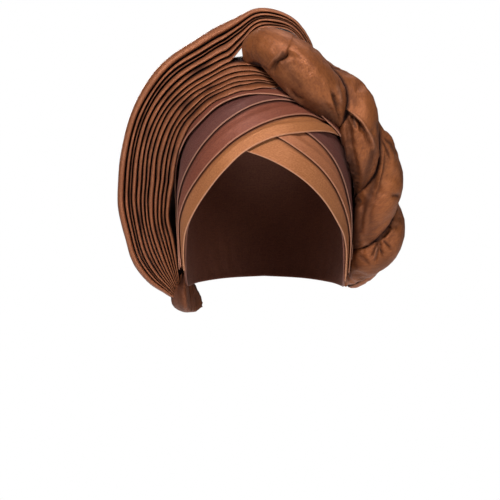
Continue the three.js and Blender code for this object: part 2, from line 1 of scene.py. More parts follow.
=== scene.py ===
# Pleated head wrap in shot cloth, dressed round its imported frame.
# Metres, +Z up, the face opening towards -Y. Tables of the shape are in millimetres.
import math
import bmesh
import bpy
import numpy as np
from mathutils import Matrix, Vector
from mathutils.kdtree import KDTree


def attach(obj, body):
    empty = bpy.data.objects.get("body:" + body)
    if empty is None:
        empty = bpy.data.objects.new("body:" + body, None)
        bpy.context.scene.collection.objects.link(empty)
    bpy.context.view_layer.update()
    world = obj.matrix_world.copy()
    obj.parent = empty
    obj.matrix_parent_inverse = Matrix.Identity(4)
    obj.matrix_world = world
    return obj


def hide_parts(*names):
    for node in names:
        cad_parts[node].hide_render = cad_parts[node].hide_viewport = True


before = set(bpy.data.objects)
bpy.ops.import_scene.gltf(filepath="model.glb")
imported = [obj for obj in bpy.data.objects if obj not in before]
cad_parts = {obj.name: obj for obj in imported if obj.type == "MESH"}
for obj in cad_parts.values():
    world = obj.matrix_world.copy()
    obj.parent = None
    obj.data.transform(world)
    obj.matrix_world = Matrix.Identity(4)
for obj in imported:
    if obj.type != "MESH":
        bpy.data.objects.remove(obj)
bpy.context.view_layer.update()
mm = 0.001
print("frame loaded with", len(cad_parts), "nodes")


# helpers for tables and smooth values

def table(columns, rows):
    return {name: np.array(values, float) for name, values in zip(columns.split(), zip(*rows))}


def smooth(rows, column, key, at):  # smooth curve through a table's column
    keys, values = rows[key], rows[column]
    slopes = np.empty_like(values)
    slopes[1:-1] = (values[2:] - values[:-2]) / (keys[2:] - keys[:-2])
    slopes[0] = (values[1] - values[0]) / (keys[1] - keys[0])
    slopes[-1] = (values[-1] - values[-2]) / (keys[-1] - keys[-2])
    at = np.clip(np.asarray(at, float), keys[0], keys[-1])
    i = np.clip(np.searchsorted(keys, at, side="left") - 1, 0, len(keys) - 2)
    span = keys[i + 1] - keys[i]
    t = (at - keys[i]) / span
    return (values[i] * (2 * t ** 3 - 3 * t ** 2 + 1) + slopes[i] * span * (t ** 3 - 2 * t ** 2 + t)
            + values[i + 1] * (3 * t ** 2 - 2 * t ** 3) + slopes[i + 1] * span * (t ** 3 - t ** 2))


def step(value, low, high):  # smooth step from 0 at low to 1 at high
    t = np.clip((np.asarray(value, float) - low) / (high - low), 0, 1)
    return t * t * (3 - 2 * t)


waveLook = {"sines": 5, "strengths": (0.4, 1), "paces": (0.8, 1.2)}


def wave(at, seed):  # soft random curve of a few sines, about -1 to 1
    draw = np.random.default_rng(seed)
    at = np.asarray(at, float)
    total = np.zeros_like(at)
    for k in range(waveLook["sines"]):
        strength = draw.uniform(*waveLook["strengths"])
        pace = draw.uniform(*waveLook["paces"])
        shift = draw.uniform(0, 2 * math.pi)
        total += strength * np.sin(at * (k + 1) * pace + shift)
    return total / math.sqrt(waveLook["sines"])


# node trees

class Wire:  # one socket, whose sums and products add their Math nodes
    def __init__(self, tree, socket):
        self.tree, self.socket = tree, socket

    @staticmethod
    def node(tree, kind, settings=None, inputs=None, output=0):
        made = tree.nodes.new(kind)
        for name, value in (settings or {}).items():
            if name == "stops":
                while len(made.color_ramp.elements) < len(value):
                    made.color_ramp.elements.new(0.5)
                for stop, (place, colour) in zip(made.color_ramp.elements, value):
                    stop.position, stop.color = place, (*colour, 1)
            else:
                setattr(made, name, value)
        for name, value in (inputs or {}).items():
            if isinstance(value, Wire):
                tree.links.new(value.socket, made.inputs[name])
            else:
                made.inputs[name].default_value = value
        return Wire(tree, made.outputs[output]) if made.outputs else made

    def sum(self, operation, one, other):
        return Wire.node(self.tree, "ShaderNodeMath", {"operation": operation}, {0: one, 1: other})

    def __add__(self, other):
        return self.sum("ADD", self, other)

    def __radd__(self, other):
        return self.sum("ADD", other, self)

    def __sub__(self, other):
        return self.sum("SUBTRACT", self, other)

    def __rsub__(self, other):
        return self.sum("SUBTRACT", other, self)

    def __mul__(self, other):
        return self.sum("MULTIPLY", self, other)

    def __rmul__(self, other):
        return self.sum("MULTIPLY", other, self)

    def __abs__(self):
        return self.sum("ABSOLUTE", self, 0)

    def wave(self):
        return self.sum("SINE", self, 0)


def mixColour(tree, share, one, other):
    return Wire.node(tree, "ShaderNodeMix", {"data_type": "RGBA"}, {0: share, 6: one, 7: other}, 2)


# cloth materials

clothLook = {
    "threadsPerMm": 2.2, "threadHeight": 0.00006, "slubHeight": 0.0001, "grainHeight": 0.000015, "bump": 0.6,
    "patchScale": 16.0, "grainScale": 0.75, "slubStretch": (0.13, 1.1, 1.1),
    "crossStretch": (1.3, 0.12, 0.12),
    "patchShare": 1.3, "slubShare": 1.3, "crossShare": 0.9, "slubRoughness": 0.12, "shadeRoughness": 0.3,
    "specular": 0.3, "sheen": 0.07, "sheenTint": (0.8, 0.5, 0.45, 1), "sheenRoughness": 0.35,
    "roughness": 0.43, "foldLight": (0.6, 0.31, 0.2, 1),
}
# Bright and dusky tone of each cloth, mixed at random, and the painted shade colour laid in its creases and
# hollows, linear, then its metal shine and its grain
# The cloths are copies of one shot cloth, each set lighter or darker for the sheen and light that its pieces
# show: painted sheen and shade
clothTones = {
    "bright": ((0.45, 0.175, 0.066), (0.33, 0.115, 0.042), (0.05, 0.008, 0.003), 0.22, 2.8),
    "amber": ((0.44, 0.165, 0.073), (0.31, 0.105, 0.048), (0.045, 0.007, 0.003), 0.22, 2.8),
    "shot": ((0.26, 0.08, 0.047), (0.17, 0.048, 0.03), (0.03, 0.005, 0.002), 0.22, 2.4),
    "dusky": ((0.17, 0.062, 0.05), (0.11, 0.038, 0.032), (0.02, 0.004, 0.003), 0.22, 2.4),
    "pleat": ((0.3, 0.098, 0.036), (0.185, 0.053, 0.021), (0.016, 0.0016, 0.0006), 0.36, 2.2),
    "twist": ((0.31, 0.1, 0.03), (0.18, 0.052, 0.017), (0.014, 0.0016, 0.0006), 0.34, 1.5),
    "cap": ((0.2, 0.068, 0.036), (0.12, 0.038, 0.024), (0.03, 0.006, 0.003), 0.3, 2.0),
}


def clothMaterial(name, tones, shine, grainShare):
    material = bpy.data.materials.new(name)
    material.use_nodes = True
    tree = material.node_tree
    tree.nodes.clear()
    bright, dusky, shadeColour = [(*tone, 1) for tone in tones]

    def attribute(title, output):
        return Wire.node(tree, "ShaderNodeAttribute", {"attribute_name": title}, output=output)

    weave = attribute("weave", 1)
    parts = [Wire.node(tree, "ShaderNodeSeparateXYZ", inputs={0: weave}, output=k) for k in range(3)]
    place = Wire.node(tree, "ShaderNodeTexCoord", output=3)

    def noise(vector, scale, detail):
        inputs = {"Vector": vector, "Scale": scale, "Detail": detail}
        return Wire.node(tree, "ShaderNodeTexNoise", inputs=inputs)

    def stretch(by):
        inputs = {0: weave, 1: clothLook[by]}
        return Wire.node(tree, "ShaderNodeVectorMath", {"operation": "MULTIPLY"}, inputs)

    patches = noise(place, clothLook["patchScale"], 3.0)
    slubs = noise(stretch("slubStretch"), 1.0, 4.0)
    crossSlubs = noise(stretch("crossStretch"), 1.0, 3.0)
    grain = noise(weave, clothLook["grainScale"], 2.0)
    turns = 2 * math.pi * clothLook["threadsPerMm"]
    threads = (parts[0] * turns).wave() * (parts[1] * turns).wave()
    tone = (patches - 0.5) * clothLook["patchShare"] + (slubs - 0.5) * clothLook["slubShare"]
    tone = tone + (crossSlubs - 0.5) * clothLook["crossShare"] + (grain - 0.5) * grainShare + 0.5
    tone = Wire.node(tree, "ShaderNodeClamp", inputs={0: tone})
    colour = mixColour(tree, tone, bright, dusky)
    # edge paints a highlight along fold edges, pleat noses and ridges; shade paints shade in creases,
    # grooves, hollows and inside faces
    edge, shade = attribute("edge", 2), attribute("shade", 2)
    colour = mixColour(tree, edge, colour, clothLook["foldLight"])
    colour = mixColour(tree, shade, colour, shadeColour)
    height = threads * clothLook["threadHeight"] + (slubs + crossSlubs) * clothLook["slubHeight"]
    height = height + grain * clothLook["grainHeight"]
    bump = Wire.node(tree, "ShaderNodeBump", inputs={
        "Strength": clothLook["bump"], "Distance": 1.0, "Height": height})
    rough = clothLook["roughness"] + (slubs - 0.5) * clothLook["slubRoughness"]
    rough = rough + shade * clothLook["shadeRoughness"]
    surface = Wire.node(tree, "ShaderNodeBsdfPrincipled", inputs={
        "Base Color": colour, "Roughness": rough, "Normal": bump,
        "Metallic": shine, "Specular IOR Level": clothLook["specular"],
        "Sheen Weight": clothLook["sheen"], "Sheen Tint": clothLook["sheenTint"],
        "Sheen Roughness": clothLook["sheenRoughness"]})
    Wire.node(tree, "ShaderNodeOutputMaterial", inputs={"Surface": surface})
    return material


cloths = {name: clothMaterial(name + "_cloth", tones, shine, grain)
          for name, (*tones, shine, grain) in clothTones.items()}
print("materials made:", len(cloths))


# geometry trees

def newTree(name, sockets):
    tree = bpy.data.node_groups.new(name, "GeometryNodeTree")
    for title, kind in sockets:
        tree.interface.new_socket(title, in_out="INPUT", socket_type=kind)
    tree.interface.new_socket("Geometry", in_out="OUTPUT", socket_type="NodeSocketGeometry")
    tree.nodes.new("NodeGroupInput")
    entry = tree.nodes[0]
    return tree, {socket.name: Wire(tree, socket) for socket in entry.outputs if socket.name}


def endTree(tree, geometry, material):
    geometry = Wire.node(tree, "GeometryNodeRealizeInstances", inputs={0: geometry})
    geometry = Wire.node(tree, "GeometryNodeSetMaterial", inputs={"Geometry": geometry, "Material": material})
    Wire.node(tree, "NodeGroupOutput", inputs={0: geometry})
    return tree


wrinkleLook = {"detail": 2.0, "roughness": 0.45, "creaseFrom": 0.16}


def wrinkleTree():  # cloth wrinkles, longer along the cloth than across it
    sockets = [("Geometry", "NodeSocketGeometry"), ("Cloth", "NodeSocketMaterial")]
    sockets += [(title, "NodeSocketFloat") for title in ("Height", "Length", "Width", "Sharpness", "Seed")]
    tree, wires = newTree("clothWrinkles", sockets)

    def mark(name, kind):
        return Wire.node(tree, "GeometryNodeInputNamedAttribute", {"data_type": kind}, {"Name": name})

    weave, tight = mark("weave", "FLOAT_VECTOR"), mark("tight", "FLOAT")
    size = Wire.node(tree, "ShaderNodeCombineXYZ", inputs={
        0: wires["Length"], 1: wires["Width"], 2: wires["Width"]})
    scaled = Wire.node(tree, "ShaderNodeVectorMath", {"operation": "DIVIDE"}, {0: weave, 1: size})
    bumps = Wire.node(tree, "ShaderNodeTexNoise", {"noise_dimensions": "4D"}, {
        "Vector": scaled, "W": wires["Seed"], "Scale": 1.0, "Detail": wrinkleLook["detail"],
        "Roughness": wrinkleLook["roughness"]})
    creases = wrinkleLook["creaseFrom"] - abs(bumps - 0.5) * 2.0
    creases = creases.sum("MAXIMUM", creases, 0.0) * wires["Sharpness"]
    height = ((bumps - 0.5) * 2.0 - creases) * wires["Height"] * tight * mm
    normal = Wire.node(tree, "GeometryNodeInputNormal")
    offset = Wire.node(tree, "ShaderNodeVectorMath", {"operation": "SCALE"}, {0: normal, "Scale": height})
    inputs = {"Geometry": wires["Geometry"], "Offset": offset}
    moved = Wire.node(tree, "GeometryNodeSetPosition", inputs=inputs)
    return endTree(tree, moved, wires["Cloth"])


def stitchTree():  # short thread stitches along a line
    sockets = [("Geometry", "NodeSocketGeometry"), ("Thread", "NodeSocketMaterial")]
    sockets += [(title, "NodeSocketFloat") for title in ("Pitch", "Stitch Length", "Thread Width")]
    tree, wires = newTree("stitchLine", sockets)
    line = Wire.node(tree, "GeometryNodeMeshToCurve", inputs={0: wires["Geometry"]})
    points = Wire.node(tree, "GeometryNodeCurveToPoints", {"mode": "LENGTH"}, {
        "Curve": line, "Length": wires["Pitch"]})
    turned = Wire(tree, points.socket.node.outputs["Rotation"])
    bead = Wire.node(tree, "GeometryNodeMeshUVSphere", inputs={"Segments": 8, "Rings": 6, "Radius": 0.5})
    size = Wire.node(tree, "ShaderNodeCombineXYZ", inputs={
        0: wires["Thread Width"], 1: wires["Thread Width"], 2: wires["Stitch Length"]})
    stitches = Wire.node(tree, "GeometryNodeInstanceOnPoints", inputs={
        "Points": points, "Instance": bead, "Rotation": turned, "Scale": size})
    smoothed = Wire.node(tree, "GeometryNodeSetShadeSmooth", inputs={0: stitches})
    return endTree(tree, smoothed, wires["Thread"])


def plainMesh(piece):  # the piece's mesh with its modifiers worked out
    graph = bpy.context.evaluated_depsgraph_get()
    return bpy.data.meshes.new_from_object(piece.evaluated_get(graph))


def runTree(piece, tree, values):  # runs a geometry tree on a piece and keeps the plain mesh
    modifier = piece.modifiers.new(tree.name, "NODES")
    modifier.node_group = tree
    for item in tree.interface.items_tree:
        if item.item_type == "SOCKET" and item.in_out == "INPUT" and item.name in values:
            modifier[item.identifier] = values[item.name]
    mesh = plainMesh(piece)
    piece.modifiers.remove(modifier)
    piece.data = mesh


def wrinkle(piece, material, look, seed, sharpness, kind="wrinkle"):  # a look's wrinkles on a piece
    sizes = {title: look[kind + title] for title in ("Height", "Length", "Width")}
    runTree(piece, wrinkles, {"Cloth": material, **sizes, "Sharpness": sharpness, "Seed": float(seed)})


wrinkles = wrinkleTree()
stitchLine = stitchTree()


# meshes

def link(name, data):
    made = bpy.data.objects.new(name, data)
    bpy.context.scene.collection.objects.link(made)
    return made


def makePiece(name, points, faces, weave, marks=None):
    mesh = bpy.data.meshes.new(name)
    mesh.from_pydata((np.asarray(points, float) * mm).tolist(), [], [tuple(map(int, face)) for face in faces])
    piece = link(name, mesh)
    markPiece(piece, weave, marks)
    return piece


def markPiece(piece, weave, marks=None):
    mesh = piece.data
    woven = mesh.attributes.new("weave", "FLOAT_VECTOR", "POINT")
    woven.data.foreach_set("vector", np.asarray(weave, np.float32).ravel())
    for title in ("tight", "shade", "edge"):
        values = np.broadcast_to(np.asarray((marks or {}).get(title, 0.0), np.float32), (len(mesh.vertices),))
        mesh.attributes.new(title, "FLOAT", "POINT").data.foreach_set("value", np.ascontiguousarray(values))


def outwards(piece):
    shape = bmesh.new()
    shape.from_mesh(piece.data)
    bmesh.ops.recalc_face_normals(shape, faces=shape.faces)
    for face in shape.faces:
        face.smooth = True
    shape.to_mesh(piece.data)
    shape.free()
    return piece


def loftFaces(rings, around, cyclic=False):  # quads through rings of equal count, with quad strips as ends
    index = np.arange(rings * around).reshape(rings, around)
    rows = np.vstack([index, index[:1]]) if cyclic else index
    here, there = rows[:-1], rows[1:]
    sides = np.stack([here, np.roll(here, -1, 1), np.roll(there, -1, 1), there], -1).reshape(-1, 4)
    faces = sides.tolist()
    if not cyclic:
        for ring in (index[0], index[-1]):
            for k in range(around // 2 - 1):
                faces.append([ring[k], ring[k + 1], ring[around - 2 - k], ring[around - 1 - k]])
    return faces


# form that the cap and the bands lie on

form = {
    "halfWidth": 72, "halfLength": 94, "domeDrop": 88, "capDrop": 176,
    "sideTaper": 0.07, "napeTaper": 0.34, "ringPower": 2.15, "domePower": 2.2,
}
cloth = {"capWall": 1.6, "bandCloth": 1.0, "layerGap": 0.5, "seatGap": 0.5, "overlap": 6, "capInset": 4}
onCap = cloth["capWall"] + cloth["layerGap"]
layer = cloth["bandCloth"] + cloth["layerGap"]


def formRing(drop, lift):
    high = np.maximum(0, 1 - drop / form["domeDrop"])
    low = np.maximum(0, (drop - form["domeDrop"]) / (form["capDrop"] - form["domeDrop"]))
    rounded = (1 - high ** form["domePower"]) ** (1 / form["domePower"])
    side = (form["halfWidth"] * (1 - form["sideTaper"] * low ** 2) + lift) * rounded
    front = (form["halfLength"] + lift) * rounded
    back = (form["halfLength"] * (1 - form["napeTaper"] * low ** 1.6) + lift) * rounded
    return side, front, back, lift * high - drop


def formPoint(turn, drop, lift):  # turn from the front towards the viewer's right, drop down from the crown
    turn, drop, lift = np.broadcast_arrays(*[np.asarray(v, float) for v in (turn, drop, lift)])
    side, front, back, z = formRing(np.maximum(drop, 1e-9), lift)
    x, y = np.sin(np.radians(turn)), -np.cos(np.radians(turn))
    half = np.where(y < 0, front, back)
    power = form["ringPower"]
    radius = (np.abs(x / side) ** power + np.abs(y / half) ** power) ** (-1 / power)
    return np.stack([x * radius, y * radius, z], -1)


def insideForm(x, y, z, lift):
    high = (z + form["domeDrop"]) / (form["domeDrop"] + lift)
    drop = np.where(high > 0, form["domeDrop"] * (1 - np.minimum(high, 1)), -z)
    side, front, back, _ = formRing(np.maximum(drop, 1e-9), lift)
    half = np.where(y < 0, front, back)
    power = form["ringPower"]
    return (np.abs(x / side) ** power + np.abs(y / half) ** power < 1) & (high < 1)


def arcOfDrop(drop):
    dome = form["domeDrop"]
    onDome = dome * np.arccos(1 - np.minimum(drop, dome) / dome)
    return np.where(drop > dome, dome * math.pi / 2 + drop - dome, onDome)


def dropOfArc(arc):
    dome = form["domeDrop"]
    quarter = dome * math.pi / 2
    return np.where(arc > quarter, dome + arc - quarter, dome * (1 - np.cos(np.minimum(arc, quarter) / dome)))


# cap

hem = table("turn down", [
    (-180, 0.955), (-150, 0.965), (-120, 0.985), (-96, 1), (-84, 0.97), (-72, 0.9), (-58, 0.745),
    (-45, 0.655), (-32, 0.55), (-20, 0.455), (-9.5, 0.373), (3, 0.415), (17, 0.489), (30, 0.58),
    (43, 0.682), (56, 0.767), (66, 0.9), (78, 0.99), (96, 1), (120, 0.985), (150, 0.965), (180, 0.955),
])
capLook = {
    "columns": 240, "rows": 84, "rowsFrom": 0.004, "rowsPower": 1.15, "peakTurn": -9.5, "weaveScale": 1.3,
    "hemWidth": 9, "hemRise": 0.35, "hemBehind": (70, 92), "lipDown": 0.5, "lipLifts": [1.25, 0.8, 0.35],
    "gatherHeight": 0.8, "gathers": 34, "gatherBehind": (112, 135), "gatherFade": 26,
    "seamShade": 0.55, "insideShade": 0.25, "sideTight": 0.6,
    "wrinkleHeight": 0.7, "wrinkleLength": 70.0, "wrinkleWidth": 16.0,
    "stitchFrom": 78, "stitchTo": 283, "stitchPitch": 3.2, "stitchLength": 2.3, "threadWidth": 0.55,
    "stitchDown": 1.2, "stitchLift": 0.12,
}


def hemDrop(turn):
    turn = (np.asarray(turn, float) + 180) % 360 - 180
    inset = cloth["capInset"] * step(90 - np.abs(turn), 0, 30)
    return smooth(hem, "down", "turn", turn) * form["capDrop"] - inset


def fromFront(turn):
    return np.abs((turn + 180) % 360 - 180)


def capGather(turn, toHem):  # soft gathers above the hem, round the back
    folds = 0.5 + 0.5 * np.sin(np.radians(turn) * capLook["gathers"] + 2 * wave(turn / 20, 3))
    back = step(fromFront(turn), *capLook["gatherBehind"])
    fade = np.exp(-toHem / capLook["gatherFade"])
    return capLook["gatherHeight"] * folds * back * fade * step(toHem, 0, capLook["hemWidth"])


def makeCap():
    turns = capLook["peakTurn"] + np.arange(capLook["columns"]) * 360 / capLook["columns"]
    length = arcOfDrop(hemDrop(turns))[:, None]
    rows = 1 - (1 - np.linspace(capLook["rowsFrom"], 1, capLook["rows"])) ** capLook["rowsPower"]
    arc = length * rows[None, :]
    turnGrid = np.broadcast_to(turns[:, None], arc.shape)
    drop = dropOfArc(arc)
    toHem, hemWidth = length - arc, capLook["hemWidth"]
    away = fromFront(turnGrid)
    back = step(away, *capLook["gatherBehind"])
    behind = step(away, *capLook["hemBehind"])
    rise = capLook["hemRise"] * step(toHem, hemWidth + 0.8, hemWidth - 0.4) * behind
    gather = capGather(turnGrid, toHem)
    outer = formPoint(turnGrid, drop, cloth["capWall"] + rise + gather)
    inner = formPoint(turnGrid, drop, gather)
    lipDrop = dropOfArc(length[:, 0] + capLook["lipDown"])
    lips = [formPoint(turns, lipDrop, lift) for lift in capLook["lipLifts"]]  # the hem's rounded lip
    rings = np.concatenate([outer, np.stack(lips, 1), inner[:, ::-1]], 1)
    weaveOut = np.stack([turnGrid * capLook["weaveScale"], arc, np.zeros_like(arc)], -1)
    weaveLip = np.repeat(weaveOut[:, -1:], len(lips), 1)
    weave = np.concatenate([weaveOut, weaveLip, weaveOut[:, ::-1]], 1)
    seam = step(toHem, hemWidth + 2.2, hemWidth + 0.6) * step(toHem, hemWidth - 0.6, hemWidth + 0.4)
    shade = capLook["seamShade"] * seam * behind
    tight = np.maximum(back, capLook["sideTight"] * step(away, 40, 80)) * step(toHem, 0, 12)
    onLip = np.zeros((len(turns), len(lips)))
    marks = {
        "shade": np.concatenate([shade, onLip, np.full_like(shade, capLook["insideShade"])], 1).ravel(),
        "tight": np.concatenate([tight, onLip, np.zeros_like(tight)], 1).ravel(),
    }
    count = rings.shape[1]
    faces = loftFaces(len(turns), count, cyclic=True)
    faces = [face for face in faces  # without the strip that would join the outside to the inside at the top
             if not (face[0] % count == count - 1 or face[1] % count == 0 and face[0] % count)]
    faces.append([k * count for k in range(len(turns))])
    faces.append([k * count + count - 1 for k in range(len(turns))])
    piece = makePiece("cap_shell", rings.reshape(-1, 3), faces, weave.reshape(-1, 3), marks)
    wrinkle(piece, cloths["cap"], capLook, seed=4, sharpness=1.0)
    return outwards(piece)


def makeHemStitches():
    turns = np.arange(capLook["stitchFrom"], capLook["stitchTo"], 1.0)
    toHem = capLook["hemWidth"] - capLook["stitchDown"]
    arc = arcOfDrop(hemDrop(turns)) - capLook["hemWidth"] + capLook["stitchDown"]
    lift = cloth["capWall"] + capLook["hemRise"] + capGather(turns, toHem) + capLook["stitchLift"]
    points = formPoint(turns, dropOfArc(arc), lift)
    mesh = bpy.data.meshes.new("hem_stitches")
    mesh.from_pydata((points * mm).tolist(), [(k, k + 1) for k in range(len(points) - 1)], [])
    piece = link("hem_stitches", mesh)
    runTree(piece, stitchLine, {"Thread": cloths["bright"], "Pitch": capLook["stitchPitch"] * mm,
                                "Stitch Length": capLook["stitchLength"] * mm,
                                "Thread Width": capLook["threadWidth"] * mm})
    markPiece(piece, np.array([v.co for v in piece.data.vertices]) / mm)
    return piece


capShell = makeCap()
hemStitches = makeHemStitches()
print("cap made")


# bands over the brow

overSections = table("lowTurn lowDown midTurn midDown highTurn highDown topTurn topDown", [
    (-68, 0.926, -80, 0.909, -86, 0.898, -95, 0.886),
    (-66, 0.841, -82, 0.83, -88, 0.807, -98, 0.78),
    (-58, 0.744, -76, 0.716, -86, 0.67, -95, 0.585),
    (-45, 0.653, -58, 0.608, -66, 0.54, -80, 0.4),
    (-32, 0.551, -40, 0.494, -49, 0.432, -65, 0.285),
    (-20, 0.455, -27, 0.398, -35, 0.321, -50, 0.213),
    (-9.5, 0.373, -15, 0.313, -23, 0.233, -30, 0.13),
    (4, 0.315, -2, 0.25, -9, 0.165, -13, 0.092),
    (20, 0.29, 12, 0.213, 6, 0.136, 3, 0.08),
    (37, 0.281, 27, 0.202, 20, 0.142, 16, 0.088),
    (52, 0.295, 40, 0.227, 30, 0.17, 26, 0.115),
])
underSections = table("lowTurn lowDown midTurn midDown highTurn highDown topTurn topDown", [
    (-15.5, 0.352, 1, 0.292, 17, 0.268, 38, 0.262),
    (-9.5, 0.371, 5, 0.304, 22, 0.284, 43, 0.272),
    (3, 0.415, 15, 0.358, 30, 0.33, 51, 0.288),
    (17, 0.489, 27, 0.432, 39, 0.395, 60, 0.338),
    (30, 0.58, 38, 0.511, 49, 0.483, 70, 0.41),
    (43, 0.682, 50, 0.608, 60, 0.585, 81, 0.5),
    (56, 0.767, 63, 0.71, 72, 0.688, 89, 0.605),
    (64, 0.852, 74, 0.807, 80, 0.784, 92, 0.73),
    (68, 0.977, 79, 0.938, 84, 0.898, 93, 0.86),
])
archSections = table("edgeTurn edgeDown backTurn backDown layers", [
    (-90, 0.92, -108, 0.92, 2), (-94, 0.784, -110, 0.77, 2), (-91, 0.614, -107, 0.57, 2),
    (-77, 0.432, -90, 0.35, 2), (-61, 0.313, -74, 0.222, 2), (-46, 0.239, -57, 0.148, 2),
    (-32, 0.159, -40, 0.091, 2), (-16, 0.119, -20, 0.06, 2), (0, 0.114, 0, 0.054, 2),
    (15, 0.131, 20, 0.06, 2.4), (27, 0.165, 38, 0.085, 3), (38, 0.233, 52, 0.142, 3),
    (48, 0.29, 64, 0.21, 3), (58, 0.369, 74, 0.29, 2), (72, 0.455, 88, 0.39, 2),
    (82, 0.557, 98, 0.51, 2), (86, 0.693, 102, 0.67, 2), (87, 0.87, 103, 0.86, 2),
])
bandLook = {
    "stepAlong": 2.4, "pointsAcross": 22, "acrossPower": 1.5, "foldRadius": 0.72, "foldSettle": 3.0,
    "foldAngles": [180, 157, 135, 112, 90], "underAngles": [190, 212, 235, 252, 270],
    "lapSpare": 4, "lapMost": 0.6, "lapFall": 0.3, "lapEnd": 0.9, "tuckShare": 0.5,
    "edgeLight": 0.45, "edgeWidth": 1.0, "tuckShade": 0.95, "tuckFrom": 2.4, "tuckTo": 0.4,
    "insideShade": 0.5, "climbLayers": 2, "climbFrom": -24, "climbTo": -8,
    "wrinkleHeight": 0.16, "wrinkleLength": 46.0, "wrinkleWidth": 9.0,
}
foldLines = ["low", "mid", "high", "top"]


def bandRows(sections, index, lapLayers, lowLayers=0.0):
    turn = {line: sections[line + "Turn"] for line in foldLines}
    drop = {line: sections[line + "Down"] * form["capDrop"] for line in foldLines}
    low, high = foldLines[index:index + 2]
    past = np.zeros(len(turn[low]))
    if index + 2 < len(foldLines):
        following = foldLines[index + 2]
        gap = formPoint(turn[high], drop[high], 0) - formPoint(turn[following], drop[following], 0)
        past = np.minimum(cloth["overlap"], bandLook["tuckShare"] * np.linalg.norm(gap, axis=1))
    return {
        "at": np.linspace(0, 1, len(turn[low])), "turn": turn[low], "drop": drop[low],
        "topTurn": turn[high], "topDrop": drop[high], "past": past,
        "lapLift": onCap + layer * np.broadcast_to(lapLayers, past.shape).astype(float),
        "lift": np.full(past.shape, onCap + layer * lowLayers),
    }


def makeBand(name, rows, material, seed):
    spots = formPoint(rows["turn"], rows["drop"], 0)
    reach = np.linalg.norm(np.diff(spots, axis=0), axis=1).sum()
    at = np.linspace(0, 1, int(reach / bandLook["stepAlong"]))
    value = {column: smooth(rows, column, "at", at)[:, None] for column in rows if column != "at"}
    low = formPoint(value["turn"], value["drop"], 0)
    width = np.linalg.norm(low - formPoint(value["topTurn"], value["topDrop"], 0), axis=-1)
    lapped = np.minimum(bandLook["lapMost"], (cloth["overlap"] + bandLook["lapSpare"]) / width)
    down = np.minimum(bandLook["lapEnd"], lapped + bandLook["lapFall"])
    end = width + value["past"]
    radius = bandLook["foldRadius"]
    spread = np.linspace(0, 1, bandLook["pointsAcross"])[None, 1:] ** bandLook["acrossPower"]

    def surface(angles, top):
        angles = np.radians(np.array(angles))[None, :]
        arcQ = np.broadcast_to(radius + radius * np.cos(angles), (len(at), angles.shape[1]))
        arcH = np.broadcast_to(radius + radius * np.sin(angles), arcQ.shape)
        q = np.concatenate([arcQ, radius + (end - radius) * spread], 1)
        settled = np.exp(-((q[:, len(angles[0]):] - radius) / bandLook["foldSettle"]) ** 2)
        face = cloth["bandCloth"] + (2 * radius - cloth["bandCloth"]) * settled
        h = np.concatenate([arcH, face if top else np.zeros_like(face)], 1)
        share = q / width
        fallen = step((share - lapped) / (down - lapped), 0, 1)
        lift = value["lapLift"] + (value["lift"] - value["lapLift"]) * fallen
        turn = value["turn"] + (value["topTurn"] - value["turn"]) * share
        drop = value["drop"] + (value["topDrop"] - value["drop"]) * share
        return formPoint(turn, drop, lift + h), q

    outer, q = surface(bandLook["foldAngles"], True)
    inner, _ = surface(bandLook["underAngles"], False)
    rings = np.concatenate([outer, inner[:, ::-1]], 1)
    along = np.broadcast_to((at * reach)[:, None], q.shape)
    weave = np.stack([along, q, np.zeros_like(q)], -1)
    weave = np.concatenate([weave, weave[:, ::-1]], 1)
    room = step(width, 3, 12) * np.ones_like(q)
    # painted highlight along the fold edge, painted shadow under the next band's fold, painted shade on the
    # inside face
    edge = bandLook["edgeLight"] * np.exp(-(q / bandLook["edgeWidth"]) ** 4)
    tuckShadow = bandLook["tuckShade"] * step(q, width - bandLook["tuckFrom"], width - bandLook["tuckTo"])
    marks = {
        "edge": np.concatenate([edge, np.zeros_like(edge)], 1).ravel(),
        "shade": np.concatenate([tuckShadow, np.full_like(q, bandLook["insideShade"])], 1).ravel(),
        "tight": np.concatenate([room * step(q, 0.5, 3), np.zeros_like(q)], 1).ravel(),
    }
    faces = loftFaces(len(at), rings.shape[1])
    piece = outwards(makePiece(name, rings.reshape(-1, 3), faces, weave.reshape(-1, 3), marks))
    wrinkle(piece, material, bandLook, seed, sharpness=0.0)
    bands[name] = (piece, float(np.mean(end)), float(reach))


bands = {}
# The lowest band climbs over the others past the peak
fromPeak = overSections["lowTurn"] - capLook["peakTurn"]
climb = bandLook["climbLayers"] * step(fromPeak, bandLook["climbFrom"], bandLook["climbTo"])
# Each band takes a lighter or darker copy of the one shot cloth: painted sheen and shade
makeBand("under_band_low_cloth", bandRows(underSections, 0, 0), cloths["bright"], 1)
makeBand("under_band_mid_cloth", bandRows(underSections, 1, 1), cloths["amber"], 2)
makeBand("under_band_high_cloth", bandRows(underSections, 2, 1), cloths["dusky"], 3)
makeBand("over_band_low_cloth", bandRows(overSections, 0, climb), cloths["bright"], 4)
makeBand("over_band_mid_cloth", bandRows(overSections, 1, 1), cloths["shot"], 5)
makeBand("over_band_high_cloth", bandRows(overSections, 2, 1), cloths["dusky"], 6)
archRows = {
    "at": np.linspace(0, 1, len(archSections["layers"])), "turn": archSections["edgeTurn"],
    "drop": archSections["edgeDown"] * form["capDrop"], "topTurn": archSections["backTurn"],
    "topDrop": archSections["backDown"] * form["capDrop"], "past": np.zeros(len(archSections["layers"])),
    "lapLift": onCap + layer * archSections["layers"], "lift": np.full(len(archSections["layers"]), onCap),
}
makeBand("arch_band_cloth", archRows, cloths["shot"], 7)
print("bands made")


# fan of pleats

